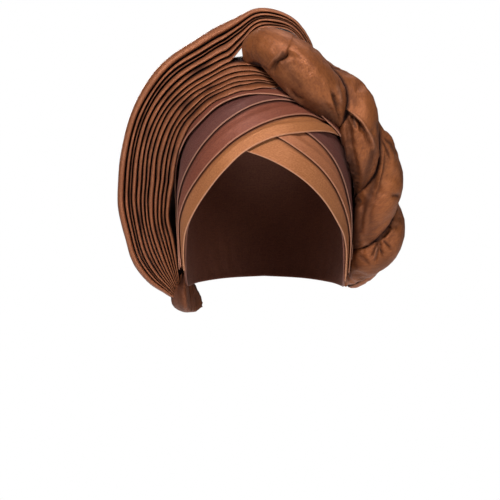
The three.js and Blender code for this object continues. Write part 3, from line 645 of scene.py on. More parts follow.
fanSections = table("at off wide frontIn frontOut deep innerTop outerFoot layers", [
    (37, 0.02, 0.15, 0.09, 0.11, 0.36, 0.5, 0.5, 2), (42, 0.02, 0.36, 0.05, 0.08, 0.55, 0.5, 0.5, 2),
    (49, 0.02, 0.63, 0, 0.04, 0.78, 0.5, 0.5, 2), (58, 0.04, 0.81, -0.06, 0, 0.92, 0.5, 0.5, 2),
    (69, 0.1, 0.82, -0.14, -0.05, 1, 0.5, 0.5, 2), (80, 0.06, 0.92, -0.2, -0.08, 1.04, 0.5, 0.5, 2),
    (91, 0.01, 0.96, -0.25, -0.11, 1.04, 0.5, 0.5, 2), (106, 0, 0.99, -0.36, -0.15, 1, 0.52, 0.52, 2),
    (122, 0, 1.05, -0.47, -0.21, 0.98, 0.5, 0.5, 2), (138, 0, 1.14, -0.59, -0.26, 0.95, 0.45, 0.45, 2),
    (152, 0, 1.17, -0.66, -0.29, 0.93, 0.42, 0.42, 2), (163, 0, 1.28, -0.705, -0.31, 0.9, 0.43, 0.43, 2),
    (170, 0, 1.36, -0.72, -0.32, 0.88, 0.38, 0.56, 2), (177, 0, 1.43, -0.7, -0.32, 0.85, 0.29, 0.71, 2.2),
    (184, 0, 1.4, -0.7, -0.32, 0.8, 0.24, 0.76, 2.2), (191, 0, 1.21, -0.67, -0.32, 0.72, 0.23, 0.79, 2.8),
    (198, 0, 0.89, -0.62, -0.32, 0.6, 0.25, 0.74, 3), (205, 0, 0.52, -0.58, -0.31, 0.5, 0.3, 0.55, 3),
    (212, 0, 0.27, -0.55, -0.3, 0.4, 0.4, 0.2, 3),
])
fan = {"centreDrop": 85, "width": 52, "depth": 50, "halvings": 30}
pleatLook = {
    "stepAngle": 1.0, "nosePoints": 9, "legPoints": 7, "rearPoints": 5, "facePoints": 16,
    "clothThickness": 1.15, "thicknessMost": 0.27, "crevice": 0.3, "creviceMost": 0.06,
    "noseWander": 1.1, "noseEvery": 13, "noseBack": 1.2, "noseFlat": 0.9, "acrossWander": 0.1,
    "acrossEvery": 24, "bulge": 1.5, "bulgeFrom": 0.86, "pinch": 0.14, "pinchDepth": 7.0,
    "sewnLift": 3.9, "sewnDown": 1.9, "sewnFrom": (0.5, 0.8), "sewnTo": (0.65, 0.95),
    "sewnShare": (0.05, 0.0), "sewnAngles": (160, 145), "noseLight": 0.12, "legShade": (1.2, 6.0),
    "rearShade": (0.6, 5.0),
    "insideShade": 0.9, "tight": 0.25, "wrinkleHeight": 0.35, "wrinkleLength": 40.0, "wrinkleWidth": 12.0,
    # each pleat's width and how far its nose is set back
    "inner": [(1.2, 0), (0.95, -1.4), (0.85, 0.7), (1.1, -1.0), (1.1, 0.7), (0.85, -0.7)],
    "outer": [(1, 0), (1.1, -1.0), (1.2, 0.7), (0.65, -1.7), (1, 0.4), (1.75, 1.2)],
}


def fanDirection(at):
    at = np.radians(at)
    return np.stack([-np.sin(at), np.zeros_like(at), -np.cos(at)], -1)


def formReach(at, y, lift):
    at, y, lift = np.broadcast_arrays(at, y, lift)
    direction = fanDirection(at)
    near, far = np.zeros(at.shape), np.full(at.shape, 2.0 * form["capDrop"])
    for _ in range(fan["halvings"]):
        middle = (near + far) / 2
        z = direction[..., 2] * middle - fan["centreDrop"]
        inside = insideForm(direction[..., 0] * middle, y, z, lift)
        near, far = np.where(inside, middle, near), np.where(inside, far, middle)
    return near


def fanPoint(at, share, deep, side=0.0):
    value = {column: smooth(fanSections, column, "at", at) for column in fanSections if column != "at"}
    depth = value["deep"] * fan["depth"]
    lift = onCap + layer * value["layers"] + cloth["bandCloth"] + cloth["seatGap"]
    front = value["frontIn"] * form["halfLength"]
    seat = formReach(at, front, lift) + value["off"] * fan["width"]
    push = np.maximum(0, formReach(at, front + deep * depth, lift) - seat)
    y = front + (value["frontOut"] * form["halfLength"] - front) * share + deep * depth
    free = seat + push * (1 - share) + share * value["wide"] * fan["width"]
    radius = np.maximum(free, formReach(at, y, lift)) + side
    points = fanDirection(at) * radius[..., None]
    points[..., 1] += y
    points[..., 2] -= fan["centreDrop"]
    return points


def innerBounds(at):
    return np.zeros_like(at), smooth(fanSections, "innerTop", "at", at)


def outerBounds(at):
    start = np.maximum(smooth(fanSections, "innerTop", "at", at), smooth(fanSections, "outerFoot", "at", at))
    return start, np.ones_like(at)


def foldProfile(at, pleats, low, high, seed):  # middle line of the folded cloth at each fan angle
    room = (high - low) * smooth(fanSections, "wide", "at", at) * fan["width"]
    depth = smooth(fanSections, "deep", "at", at) * fan["depth"]
    wides = np.array([wide for wide, _ in pleats])
    starts = np.concatenate([[0], np.cumsum(wides) / wides.sum()])
    pitch = room / len(pleats)
    thick = np.minimum(pleatLook["clothThickness"], pleatLook["thicknessMost"] * pitch)
    gap = np.minimum(pleatLook["crevice"], pleatLook["creviceMost"] * pitch)
    edges = [room * start for start in starts]
    for k in range(1, len(pleats)):
        sway = wave(at / pleatLook["acrossEvery"], seed + 40 + k)
        edges[k] = edges[k] + pitch * pleatLook["acrossWander"] * sway
    across, deep, turned, nose = [], [], [], []

    def lay(a, d, angle, tip=0.0):
        across.append(a)
        deep.append(d)
        turned.append(np.full_like(at, angle))
        nose.append(np.full_like(at, tip))

    for k, (_, setBack) in enumerate(pleats):
        left, right = edges[k] + gap + thick / 2, edges[k + 1] - gap - thick / 2
        pinch = pleatLook["pinch"] * pitch
        tip = (right - left) / 2 - pinch
        nod = pleatLook["noseWander"] * (1 + wave(at / pleatLook["noseEvery"], seed + k))
        tipDepth = np.minimum(1, pitch / 3) * (nod - setBack + pleatLook["noseBack"])
        tipDepth = np.maximum(tipDepth, 0) + thick / 2
        rear = depth - gap - thick
        legs = np.linspace(1, 0, pleatLook["legPoints"])
        for t in legs[:-1]:
            down = (rear - tipDepth - tip) * t ** 2
            lay(left + pinch * np.exp(-down / pleatLook["pinchDepth"]), tipDepth + tip + down, math.pi)
        for angle in np.linspace(math.pi, 0, pleatLook["nosePoints"]):
            back = tipDepth + tip - tip * math.sin(angle) * pleatLook["noseFlat"]
            lay(left + pinch + tip + tip * math.cos(angle), back, angle, math.sin(angle))
        outermost = high[0] == 1 and k + 1 == len(pleats)
        for t in np.linspace(0, 1, pleatLook["facePoints"] if outermost else pleatLook["legPoints"])[1:]:
            down = (rear - tipDepth - tip) * t ** 2
            lay(right - pinch * np.exp(-down / pleatLook["pinchDepth"]), tipDepth + tip + down, 0)
        if k + 1 < len(pleats):
            for angle in np.linspace(math.pi, 2 * math.pi, pleatLook["rearPoints"] + 2)[1:-1]:
                bend = gap + thick / 2
                lay(edges[k + 1] + bend * math.cos(angle), rear - bend * math.sin(angle), math.pi - angle)
    return [np.stack(values, 1) for values in (across, deep, turned, nose)] + [thick, room, depth]


def makePleats(name, start, stop, pleats, boundsAt, seed):
    at = np.linspace(start, stop, int((stop - start) / pleatLook["stepAngle"]) + 1)
    low, high = boundsAt(at)
    across, deep, turned, nose, thick, room, depth = foldProfile(at, pleats, low, high, seed)
    reach = np.cumsum(np.hypot(np.gradient(across, axis=1), np.gradient(deep, axis=1)), 1)

    def surface(side):  # turned is the way that the cloth's outer face looks, from across towards the front
        a = across + side * thick[:, None] / 2 * np.cos(turned)
        d = deep - side * thick[:, None] / 2 * np.sin(turned)
        a = np.clip(a, 0, room[:, None])
        d = np.clip(d, 0, depth[:, None])
        share = low[:, None] + (high - low)[:, None] * a / room[:, None]
        grid = np.broadcast_to(at[:, None], a.shape)
        bulge = np.zeros_like(a)
        if high[0] == 1:
            swell = np.sin(np.clip(d / depth[:, None], 0, 1) * math.pi)
            bulge = pleatLook["bulge"] * step(share, pleatLook["bulgeFrom"], 1) * swell
        points = fanPoint(grid, share, d / depth[:, None], bulge)
        if low[0] == 0:  # the first leg is sewn down on the cap, behind the arch band
            lower = pleatLook["sewnDown"] * step(d / depth[:, None], *pleatLook["sewnTo"])
            lift = pleatLook["sewnLift"] - lower + (1 - side) / 2 * thick[:, None]
            sewn = formReach(grid, points[..., 1], lift)
            seat = np.linalg.norm(points[..., ::2] - np.array([0, -fan["centreDrop"]]), axis=-1)
            down = step(d / depth[:, None], *pleatLook["sewnFrom"]) * step(share, *pleatLook["sewnShare"])
            down = down * step(grid, *pleatLook["sewnAngles"])
            points -= fanDirection(grid) * (np.maximum(0, seat - sewn) * down)[..., None]
        return points, d

    outer, outerDeep = surface(1)
    inner, _ = surface(-1)
    rings = np.concatenate([outer, inner[:, ::-1]], 1)
    radius = np.linalg.norm(outer[:, 0, ::2] - np.array([0, -fan["centreDrop"]]), axis=1)
    along = np.cumsum(np.gradient(np.radians(at)) * radius)
    weave = np.stack([np.broadcast_to(along[:, None], reach.shape), reach, np.zeros_like(reach)], -1)
    weave = np.concatenate([weave, weave[:, ::-1]], 1)
    fromNose = outerDeep - np.minimum.reduce(outerDeep, 1)[:, None]
    shade = step(fromNose, *pleatLook["legShade"]) * step(depth[:, None] - outerDeep, *pleatLook["rearShade"])
    free = np.zeros_like(shade)
    if high[0] == 1:  # the outermost face is seen all over
        free[:, -(pleatLook["facePoints"] - 1):] = 1
    shade = shade * (1 - free)
    marks = {
        "edge": np.concatenate([pleatLook["noseLight"] * nose ** 4, np.zeros_like(nose)], 1).ravel(),
        "shade": np.concatenate([shade, np.full_like(shade, pleatLook["insideShade"])], 1).ravel(),
        "tight": np.concatenate([pleatLook["tight"] + free, np.zeros_like(free)], 1).ravel(),
    }
    faces = loftFaces(len(at), rings.shape[1])
    piece = outwards(makePiece(name, rings.reshape(-1, 3), faces, weave.reshape(-1, 3), marks))
    wrinkle(piece, cloths["pleat"], pleatLook, seed, sharpness=0.0)
    return piece, float(reach[:, -1].max()), float(along[-1])


innerPleats = makePleats("inner_pleat_cloth", 40, 203, pleatLook["inner"], innerBounds, 11)
outerPleats = makePleats("outer_pleat_cloth", 37, 211, pleatLook["outer"], outerBounds, 23)
print("pleats made")


# rope twist and bun, from their frame solids

twistSections = table("row at off front thick halfTurns", [
    (0, 176, 0.9, -0.3, 0.5, -0.25), (1, 178.5, 1.28, -0.51, 0.7, -0.16), (2, 183, 1.42, -0.62, 0.86, -0.12),
    (3, 190, 1.27, -0.68, 0.98, -0.06), (4, 198, 0.99, -0.68, 1.02, 0), (5, 209, 0.6, -0.63, 0.98, 0.08),
    (6, 220, 0.49, -0.54, 0.96, 0.34), (7, 234, 0.47, -0.45, 0.98, 0.82), (8, 250, 0.48, -0.38, 0.99, 1.25),
    (9, 265, 0.56, -0.22, 1.02, 1.58), (10, 281, 0.68, -0.09, 1.05, 2.02), (11, 294, 0.74, 0, 1.06, 2.44),
    (12, 304, 0.68, 0.1, 0.95, 2.86), (13, 313, 0.4, 0.2, 0.66, 3.2), (14, 321, 0.22, 0.33, 0.26, 3.4),
])
twistLook = {
    "radius": 23, "strandOffset": 0.28, "voxel": 0.0034, "smoothing": 4, "stations": 420,
    "pressure": 6.0, "spareCloth": 0.035, "bending": 3.0, "frames": 24, "mostPuff": 6.0, "levels": 2,
    "grooveHeld": (0.34, 0.16), "capHeld": (0.45, 0.8), "capHeldShare": 0.8, "startHeld": (14, 4),
    "endHeld": (24, 8), "weaveRadius": 0.67, "swell": 0.3, "capSwell": 1.6, "capSwellAt": (0.2, 0.6),
    "tight": 0.3, "grooveTight": (0.32, 0.02), "grooveTightShare": 0.8, "startTight": (34, 4),
    "endTight": (60, 8), "grooveShade": (0.2, -0.02), "underShade": (0.3, 0.85), "underAtStart": 0.35,
    "underLater": 0.5, "underFrom": (60, 110), "sharpness": 2.0,
    "wrinkleHeight": 0.6, "wrinkleLength": 70.0, "wrinkleWidth": 13.0,
    "fineHeight": 0.14, "fineLength": 30.0, "fineWidth": 5.0,
}
settleA = table("at inward grown", [  # first lobe lies lower and fuller than its core
    (170, 6, 2.2), (183, 6.5, 2.8), (192, 5.5, 3.2), (202, 3.5, 3.2), (214, 2, 2.6), (226, 0.5, 1.8),
    (240, 0, 1.6), (330, 0, 1.6),
])
settleB = table("at inward grown", [(170, 0, 1.6), (250, 0, 1.6), (330, 0, 1.6)])
seen = {  # front view that the marks are given in: pixels from its top left corner, then millimetres
    "middle": 250, "mmPerPixel": 0.87, "across": -13, "up": -145, "away": 1500, "plane": -70,
}
pressing = {  # how strongly the marks below press the cloth and paint shade and highlights on it
    "forward": (-0.05, 0.3), "shade": 0.75, "shadeWidth": 1.6, "light": 0.35, "lightWidth": 0.8,
    "foldEdge": 0.6, "dropReach": 1.6, "foldShadeReach": 2.2,
    "creaseEnds": (-0.1, 0.25, 1.1, 0.7), "foldEnds": (-0.1, 0.2, 1.1, 0.8),
}
# Creases seen from the front, as pixel points with depth (a ridge where it is negative) and width; each
# crease also gets painted shade along it, each ridge a painted highlight
creasesA = [
    ([(270, 75), (271, 67), (275, 61), (281, 57), (286, 54.5), (289, 50)], 3.4, 1.3),
    ([(281, 56), (283, 52.5), (285, 55)], 1.2, 1.2),
    ([(273, 61), (279, 56), (285, 53)], -0.9, 2.2),
    ([(284, 63), (292, 76), (301, 90)], 1.6, 9.0),
    ([(285, 87), (290, 95), (297, 101), (306, 106)], -1.3, 1.4),
    ([(290, 90), (296, 97), (305, 100)], 1.5, 1.8),
    ([(333, 92), (337, 101), (341, 111)], 2.4, 1.8),
    ([(336, 84), (340.5, 94), (342.5, 106)], -1.0, 1.4),
    ([(322, 100), (333, 112), (341, 124)], 1.2, 3.0),
    ([(252, 62), (262, 66), (270, 72)], 1.2, 1.6),
    ([(382, 139), (387, 148), (392, 160)], 1.5, 1.3),
    ([(384, 137), (392, 144), (397, 156)], 1.0, 2.0),
    ([(379, 152), (376, 168), (373, 190), (371, 205)], 2.2, 4.5),
    ([(364, 200), (361, 218), (361, 240)], 1.8, 3.2),
    ([(351, 206), (355, 203), (360, 199)], 3.5, 4.0),
    ([(372, 200), (370, 215), (372, 232)], 0.9, 3.0),
    ([(392, 196), (397, 196), (401, 196)], 1.5, 2.2),
    ([(362, 246), (366, 243), (372, 246)], -0.8, 1.8),
]
foldsA = [  # line with its raised side on the left, how far that side lifts and the other drops, reach; the side that drops gets painted shade
    ([(271, 76), (271.5, 68), (275, 61), (281, 57), (286, 54), (288, 49)], 1.2, 4.2, 8),
    ([(341, 124), (337, 112), (333, 101), (331, 92)], 1.2, 2.2, 5),
    ([(372, 205), (378, 188), (383, 170), (385, 152)], 1.0, 1.8, 7),
]
shadePatchesA = [  # patches of painted shade, with their strength and width
    ([(282, 60), (289, 72), (299, 86)], 0.46, 9),
    ([(251, 58), (255, 64)], 0.2, 5),
    ([(377, 158), (373, 185), (366, 204), (359, 232)], 0.7, 5),
    ([(357, 214), (356, 246)], 0.7, 6),
    ([(366, 205), (371, 228), (369, 244)], 0.36, 8),
    ([(400, 150), (402, 180)], 0.4, 4),
]
# patches of painted shade on the second strand
shadePatchesB = [
    ([(347, 118), (351, 150), (355, 186)], 0.6, 5.5),
    ([(373, 152), (367, 175), (362, 192)], 0.55, 4),
    ([(355, 266), (370, 274), (386, 262)], 0.4, 10),
    ([(350, 270), (362, 279), (376, 281)], 0.5, 5),
    ([(383, 232), (391, 224)], 0.4, 5),
]
foldsB = [
    ([(343, 106), (352, 114), (362, 124), (369, 137), (373, 150)], 1.6, 3.4, 7),
    ([(352, 196), (350, 170), (347, 145), (344, 122)], 1.0, 2.2, 6),
    ([(373, 240), (380, 238), (387, 230), (392, 220)], 1.4, 2.6, 5),
]
creasesB = [
    ([(335, 80), (341, 90), (346, 100)], 2.2, 2.8),
    ([(342, 106), (348, 111), (356, 116), (362, 122), (367, 130), (372, 140), (376, 150)], -1.3, 1.3),
    ([(346, 113), (353, 118), (359, 123), (364, 131), (368, 141)], 2.8, 1.8),
    ([(348, 114), (352, 121), (356, 129)], 2.6, 1.4),
    ([(355, 119), (359, 125), (362, 133)], 2.4, 1.5),
    ([(351, 115), (353, 122), (354, 128)], -0.7, 1.2),
    ([(345, 116), (348, 132), (354, 160), (359, 190)], 2.0, 3.4),
    ([(327, 66.5), (336, 67.5), (343, 69), (350, 74)], 1.8, 1.5),
    ([(345, 84), (352, 96), (357, 108)], 1.0, 4.0),
    ([(378, 120), (380, 134), (381, 146)], 0.9, 2.5),
    ([(361, 190), (364, 193), (366, 196)], -1.2, 1.6),
    ([(391, 217), (388, 228), (384, 235)], 1.6, 1.6),
    ([(386, 225), (390, 226), (394, 229)], 1.6, 1.2),
    ([(379, 241), (377, 251), (374.5, 264)], 3.0, 1.3),
    ([(378, 241), (374, 250), (371, 258)], 2.4, 1.2),
    ([(380, 241), (381, 249), (385, 257)], 2.4, 1.3),
    ([(383, 238), (387, 234), (391, 229)], 2.4, 1.6),
    ([(383, 240), (388, 244), (393, 250)], 1.6, 1.4),
    ([(350, 194), (354, 199), (358, 203)], 3.5, 4.0),
    ([(376.5, 246), (376, 254), (374, 260)], -0.6, 1.0),
    ([(358, 254), (364, 259), (372, 268)], 0.9, 2.5),
]


def twistAxis():
    rows = np.linspace(0, 14, twistLook["stations"])
    columns = [column for column in twistSections if column != "row"]
    value = {column: smooth(twistSections, column, "row", rows) for column in columns}
    lift = onCap + 3 * layer + cloth["bandCloth"] + 2 * cloth["seatGap"]
    y = value["front"] * form["halfLength"]
    radius = formReach(value["at"], y, lift) + value["off"] * twistLook["radius"]
    points = fanDirection(value["at"]) * radius[:, None]
    points[:, 1] += y
    points[:, 2] -= fan["centreDrop"]
    tangent = np.gradient(points, axis=0)
    tangent /= np.linalg.norm(tangent, axis=1)[:, None]
    facing = np.array([0, -1, 0]) - tangent * (tangent @ np.array([0, -1, 0]))[:, None]
    facing /= np.linalg.norm(facing, axis=1)[:, None]
    inward = np.cross(tangent, facing)
    along = np.concatenate([[0], np.cumsum(np.linalg.norm(np.diff(points, axis=0), axis=1))])
    return {"points": points, "facing": facing, "inward": inward, "along": along,
            "thick": value["thick"] * twistLook["radius"], "angle": value["halfTurns"] * math.pi}


def remeshNode(node, name, voxel, smoothing):  # even mesh of a frame solid, with its facets smoothed away
    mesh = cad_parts[node].data.copy()
    shape = bmesh.new()
    shape.from_mesh(mesh)
    bmesh.ops.remove_doubles(shape, verts=shape.verts, dist=1e-5)
    shape.to_mesh(mesh)
    shape.free()
    mesh.materials.clear()
    piece = link(name, mesh)
    even = piece.modifiers.new("even", "REMESH")
    even.mode, even.voxel_size = "VOXEL", voxel
    soft = piece.modifiers.new("soft", "SMOOTH")
    soft.factor, soft.iterations = 0.5, smoothing
    plain = plainMesh(piece)
    piece.modifiers.clear()
    piece.data = plain
    for title in [item.name for item in plain.attributes if not item.is_internal and not item.is_required]:
        plain.attributes.remove(plain.attributes[title])
    return piece


def readPoints(mesh, kind):
    values = np.empty(len(mesh.vertices) * 3)
    mesh.vertices.foreach_get(kind, values)
    return values.reshape(-1, 3)


def pointsOf(piece):
    return readPoints(piece.data, "co") / mm


def normalsOf(piece):
    return readPoints(piece.data, "normal")


def movePoints(piece, points):
    piece.data.vertices.foreach_set("co", (points * mm).ravel())
    piece.data.update()


def seenLines(lines):  # marks in the front view, made millimetres in the marks' plane
    scale = seen["mmPerPixel"] * (seen["away"] + seen["plane"]) / seen["away"]
    corner = np.array([seen["across"], seen["up"]])
    return [(corner + (np.array(points) - seen["middle"]) * scale * [1, -1], *depths, width * scale)
            for points, *depths, width in lines]


def nearLine(flat, line):  # distance from a line, share of the way along it, and distance to its left side
    nearest, spot, signed = np.full(len(flat), 1e9), np.zeros(len(flat)), np.zeros(len(flat))
    for k, (start, stop) in enumerate(zip(line[:-1], line[1:])):
        run = stop - start
        t = np.clip(((flat - start) @ run) / (run @ run), 0, 1)
        offset = flat - start - t[:, None] * run
        away = np.linalg.norm(offset, axis=1)
        closer = away < nearest
        left = np.sign(run[0] * offset[:, 1] - run[1] * offset[:, 0])
        spot = np.where(closer, (k + t) / (len(line) - 1), spot)
        signed = np.where(closer, left * away, signed)
        nearest = np.minimum(nearest, away)
    return nearest, spot, signed


def fadeEnds(spot, kind):  # strength of a mark along its line
    start, full, stop, ebb = pressing[kind]
    return step(spot, start, full) * step(spot, stop, ebb)


def deepenMark(piece, title, values):  # raises one of the piece's marks where the new values are higher
    kept = np.empty(len(values), np.float32)
    mark = piece.data.attributes[title]
    mark.data.foreach_get("value", kept)
    mark.data.foreach_set("value", np.maximum(kept, values).astype(np.float32))


# Presses and lifts the faces that look forward, and paints shade and highlights on them
def pressCreases(piece, lines, folds, patches):
    points, normals = pointsOf(piece), normalsOf(piece)
    scale = (seen["away"] + seen["plane"]) / (points[:, 1] + seen["away"])
    flat = np.stack([(points[:, 0] - seen["across"]) * scale + seen["across"],
                     (points[:, 2] - seen["up"]) * scale + seen["up"]], 1)
    forward = step(-normals[:, 1], *pressing["forward"])
    height, dark, light = np.zeros(len(points)), np.zeros(len(points)), np.zeros(len(points))
    for line, depth, width in seenLines(lines):
        nearest, spot, _ = nearLine(flat, line)
        taper = fadeEnds(spot, "creaseEnds")
        mark = np.exp(-(nearest / width) ** 2) * taper * forward
        height -= depth * mark
        if depth > 0:
            dark = np.maximum(dark, pressing["shade"] * mark * min(1, pressing["shadeWidth"] / width))
        else:
            light = np.maximum(light, pressing["light"] * mark * min(1, pressing["lightWidth"] / width))
    for line, lift, drop, reach in seenLines(folds):  # one side stands over the other, which falls away
        nearest, spot, signed = nearLine(flat, line)
        taper = fadeEnds(spot, "foldEnds") * forward
        over = step(signed, -pressing["foldEdge"], pressing["foldEdge"])
        rise = lift * over * np.exp(-nearest / reach)
        height += taper * (rise - drop * (1 - over) * np.exp(-nearest / (pressing["dropReach"] * reach)))
        shaded = (1 - over) * np.exp(-nearest / pressing["foldShadeReach"])
        dark = np.maximum(dark, pressing["shade"] * taper * shaded)
    # patches of painted shade
    for line, strength, width in seenLines(patches):
        nearest, _, _ = nearLine(flat, line)
        dark = np.maximum(dark, strength * np.exp(-(nearest / width) ** 2) * forward)
    movePoints(piece, points + normals * height[:, None])
    deepenMark(piece, "shade", dark)
    deepenMark(piece, "edge", light)


blowing = {"quality": 6, "mass": 0.2, "tension": 12, "shear": 6, "heldFrom": 0.02}  # for the cloth simulation


def puffUp(piece, held, look):  # blows the cloth up between the places that hold it
    before = pointsOf(piece)
    group = piece.vertex_groups.new(name="held")
    for k in np.nonzero(held > blowing["heldFrom"])[0]:
        group.add([int(k)], float(held[k]), "REPLACE")
    puff = piece.modifiers.new("puff", "CLOTH")
    puff.settings.quality = blowing["quality"]
    puff.settings.mass = blowing["mass"]
    puff.settings.tension_stiffness = blowing["tension"]
    puff.settings.compression_stiffness = blowing["tension"]
    puff.settings.shear_stiffness = blowing["shear"]
    puff.settings.bending_stiffness = look["bending"]
    puff.settings.use_pressure = True
    puff.settings.uniform_pressure_force = look["pressure"]
    puff.settings.shrink_min = -look["spareCloth"]
    puff.settings.vertex_group_mass = "held"
    puff.settings.effector_weights.gravity = 0
    puff.collision_settings.use_collision = False
    puff.point_cache.frame_start, puff.point_cache.frame_end = 1, look["frames"]
    for number in range(1, look["frames"] + 1):
        bpy.context.scene.frame_set(number)
    graph = bpy.context.evaluated_depsgraph_get()
    blown = readPoints(piece.evaluated_get(graph).data, "co")
    piece.modifiers.remove(puff)
    piece.vertex_groups.clear()
    bpy.context.scene.frame_set(1)
    move = blown / mm - before
    size = np.linalg.norm(move, axis=1)[:, None] + 1e-9
    capped = look["mostPuff"] * np.tanh(size / look["mostPuff"])
    movePoints(piece, before + move / size * capped)
    fine = piece.modifiers.new("fine", "SUBSURF")
    fine.levels = fine.render_levels = look["levels"]
    mesh = plainMesh(piece)
    piece.modifiers.clear()
    piece.data = mesh
    triangles = 2 * len(mesh.polygons)
    print("  ", piece.name, "puffed by up to", round(float(size.max()), 2), "mm,", triangles, "triangles")


def strandPlace(points, axis, halfTurn):  # where each point lies along, across and out from the strand's core
    tree = KDTree(len(axis["points"]))
    for k, point in enumerate(axis["points"]):
        tree.insert(point, k)
    tree.balance()
    near = np.array([tree.find(point)[1] for point in points])
    angle = axis["angle"][near] + halfTurn
    facing, inward, thick = axis["facing"][near], axis["inward"][near], axis["thick"][near]
    out = facing * np.cos(angle)[:, None] + inward * np.sin(angle)[:, None]
    side = inward * np.cos(angle)[:, None] - facing * np.sin(angle)[:, None]
    local = points - axis["points"][near]
    fromStart = axis["along"][near]
    return {"across": (local * side).sum(1), "forward": (local * out).sum(1) / thick, "thick": thick,
            "towardsCap": (local * inward).sum(1) / thick,
            "fromStart": fromStart, "toEnd": axis["along"][-1] - fromStart}


def heldShare(points, axis, halfTurn):  # the groove, the side on the cap and the ends hold the cloth
    place = strandPlace(points, axis, halfTurn)
    start = step(place["fromStart"], *twistLook["startHeld"])
    end = step(place["toEnd"], *twistLook["endHeld"])
    groove = step(place["forward"], *twistLook["grooveHeld"])
    onCapSide = twistLook["capHeldShare"] * step(place["towardsCap"], *twistLook["capHeld"])
    return np.maximum.reduce([groove, onCapSide, np.maximum(start, end)])


def settle(piece, points, rows):
    reach = points[:, ::2] - np.array([0, -fan["centreDrop"]])
    at = np.degrees(np.arctan2(-reach[:, 0], -reach[:, 1])) % 360
    inward, grown = (smooth(rows, column, "at", at)[:, None] for column in ("inward", "grown"))
    movePoints(piece, points - fanDirection(at) * inward + normalsOf(piece) * grown)


def makeStrand(name, node, halfTurn, seed, marks, settled):
    piece = remeshNode(node, name, twistLook["voxel"], twistLook["smoothing"])
    axis = twistAxis()
    points = pointsOf(piece)
    held = heldShare(points, axis, halfTurn)
    settle(piece, points, settled)
    puffUp(piece, held, twistLook)
    points = pointsOf(piece)
    place = strandPlace(points, axis, halfTurn)
    forward, towardsCap, fromStart = place["forward"], place["towardsCap"], place["fromStart"]
    around = np.arctan2(place["across"], (forward - twistLook["strandOffset"]) * place["thick"])
    size = twistLook["weaveRadius"] * twistLook["radius"]
    weave = np.stack([fromStart, size * np.cos(around), size * np.sin(around)], 1)
    ends = np.maximum(step(fromStart, *twistLook["startTight"]), step(place["toEnd"], *twistLook["endTight"]))
    groove = twistLook["grooveTightShare"] * step(forward, *twistLook["grooveTight"])
    tight = twistLook["tight"] + (1 - twistLook["tight"]) * np.maximum(groove, ends)
    later = twistLook["underLater"] * step(fromStart, *twistLook["underFrom"])
    underSide = step(towardsCap, *twistLook["underShade"]) * (twistLook["underAtStart"] + later)
    shade = np.maximum(step(forward, *twistLook["grooveShade"]), underSide)
    markPiece(piece, weave, {"tight": tight, "shade": shade})
    swollen = twistLook["swell"] + twistLook["capSwell"] * step(towardsCap, *twistLook["capSwellAt"])[:, None]
    movePoints(piece, points + normalsOf(piece) * swollen)
    wrinkle(piece, cloths["twist"], twistLook, seed, twistLook["sharpness"])
    pressCreases(piece, *marks)
    wrinkle(piece, cloths["twist"], twistLook, seed + 7, twistLook["sharpness"], "fine")
    return outwards(piece)


bunLook = {
    "voxel": 0.002, "smoothing": 14, "pressure": 6.0, "spareCloth": 0.0, "bending": 4.0, "frames": 20,
    "mostPuff": 4.0, "levels": 2, "fillAt": (-79, -184), "fillReach": 7, "fillMove": (-1.5, 8.0),
    "gathers": 9, "gatherHeight": 1.0, "gatherSway": 1.2, "gatherFrom": -6, "neckFrom": 8, "neckTo": 16,
    "shade": 0.4, "foldShade": 0.5, "foldShadeAt": (0.2, -1), "belowNeck": 0.3, "tight": 0.5,
    "weaveRadius": 16, "wrinkleHeight": 0.3, "wrinkleLength": 30.0, "wrinkleWidth": 8.0,
}


def makeBun():
    piece = remeshNode("side_bun", "side_bun_cloth", bunLook["voxel"], bunLook["smoothing"])
    points = pointsOf(piece)
    middle = points.mean(0)
    held = step(points[:, 2] - middle[2], bunLook["neckFrom"], bunLook["neckTo"])
    near = np.linalg.norm(points[:, ::2] - np.array(bunLook["fillAt"]), axis=1)
    points[:, ::2] += np.exp(-(near / bunLook["fillReach"]) ** 2)[:, None] * np.array(bunLook["fillMove"])
    movePoints(piece, points)
    puffUp(piece, held, bunLook)
    points = pointsOf(piece)
    local = points - middle
    around = np.arctan2(local[:, 1], local[:, 0])
    neck = step(local[:, 2], bunLook["gatherFrom"], bunLook["neckTo"])
    folds = np.cos(around * bunLook["gathers"] + bunLook["gatherSway"] * np.sin(2 * around))
    out = np.stack([np.cos(around), np.sin(around), np.zeros_like(around)], 1)
    movePoints(piece, points + out * (bunLook["gatherHeight"] * folds * neck)[:, None])
    size = bunLook["weaveRadius"]
    weave = np.stack([local[:, 2], size * np.cos(around), size * np.sin(around)], 1)
    tight = bunLook["tight"] + (1 - bunLook["tight"]) * neck
    folded = (bunLook["belowNeck"] + (1 - bunLook["belowNeck"]) * neck) * step(folds, *bunLook["foldShadeAt"])
    markPiece(piece, weave, {"tight": tight, "shade": bunLook["shade"] + bunLook["foldShade"] * folded})
    wrinkle(piece, cloths["pleat"], bunLook, seed=3, sharpness=1.0)
    return outwards(piece)


marksA, marksB = (creasesA, foldsA, shadePatchesA), (creasesB, foldsB, shadePatchesB)
strandA = makeStrand("twist_strand_a_cloth", "twist_strand_a", 0.0, 5, marksA, settleA)
strandB = makeStrand("twist_strand_b_cloth", "twist_strand_b", math.pi, 9, marksB, settleB)
sideBun = makeBun()
print("twist and bun made")


# what rides on what

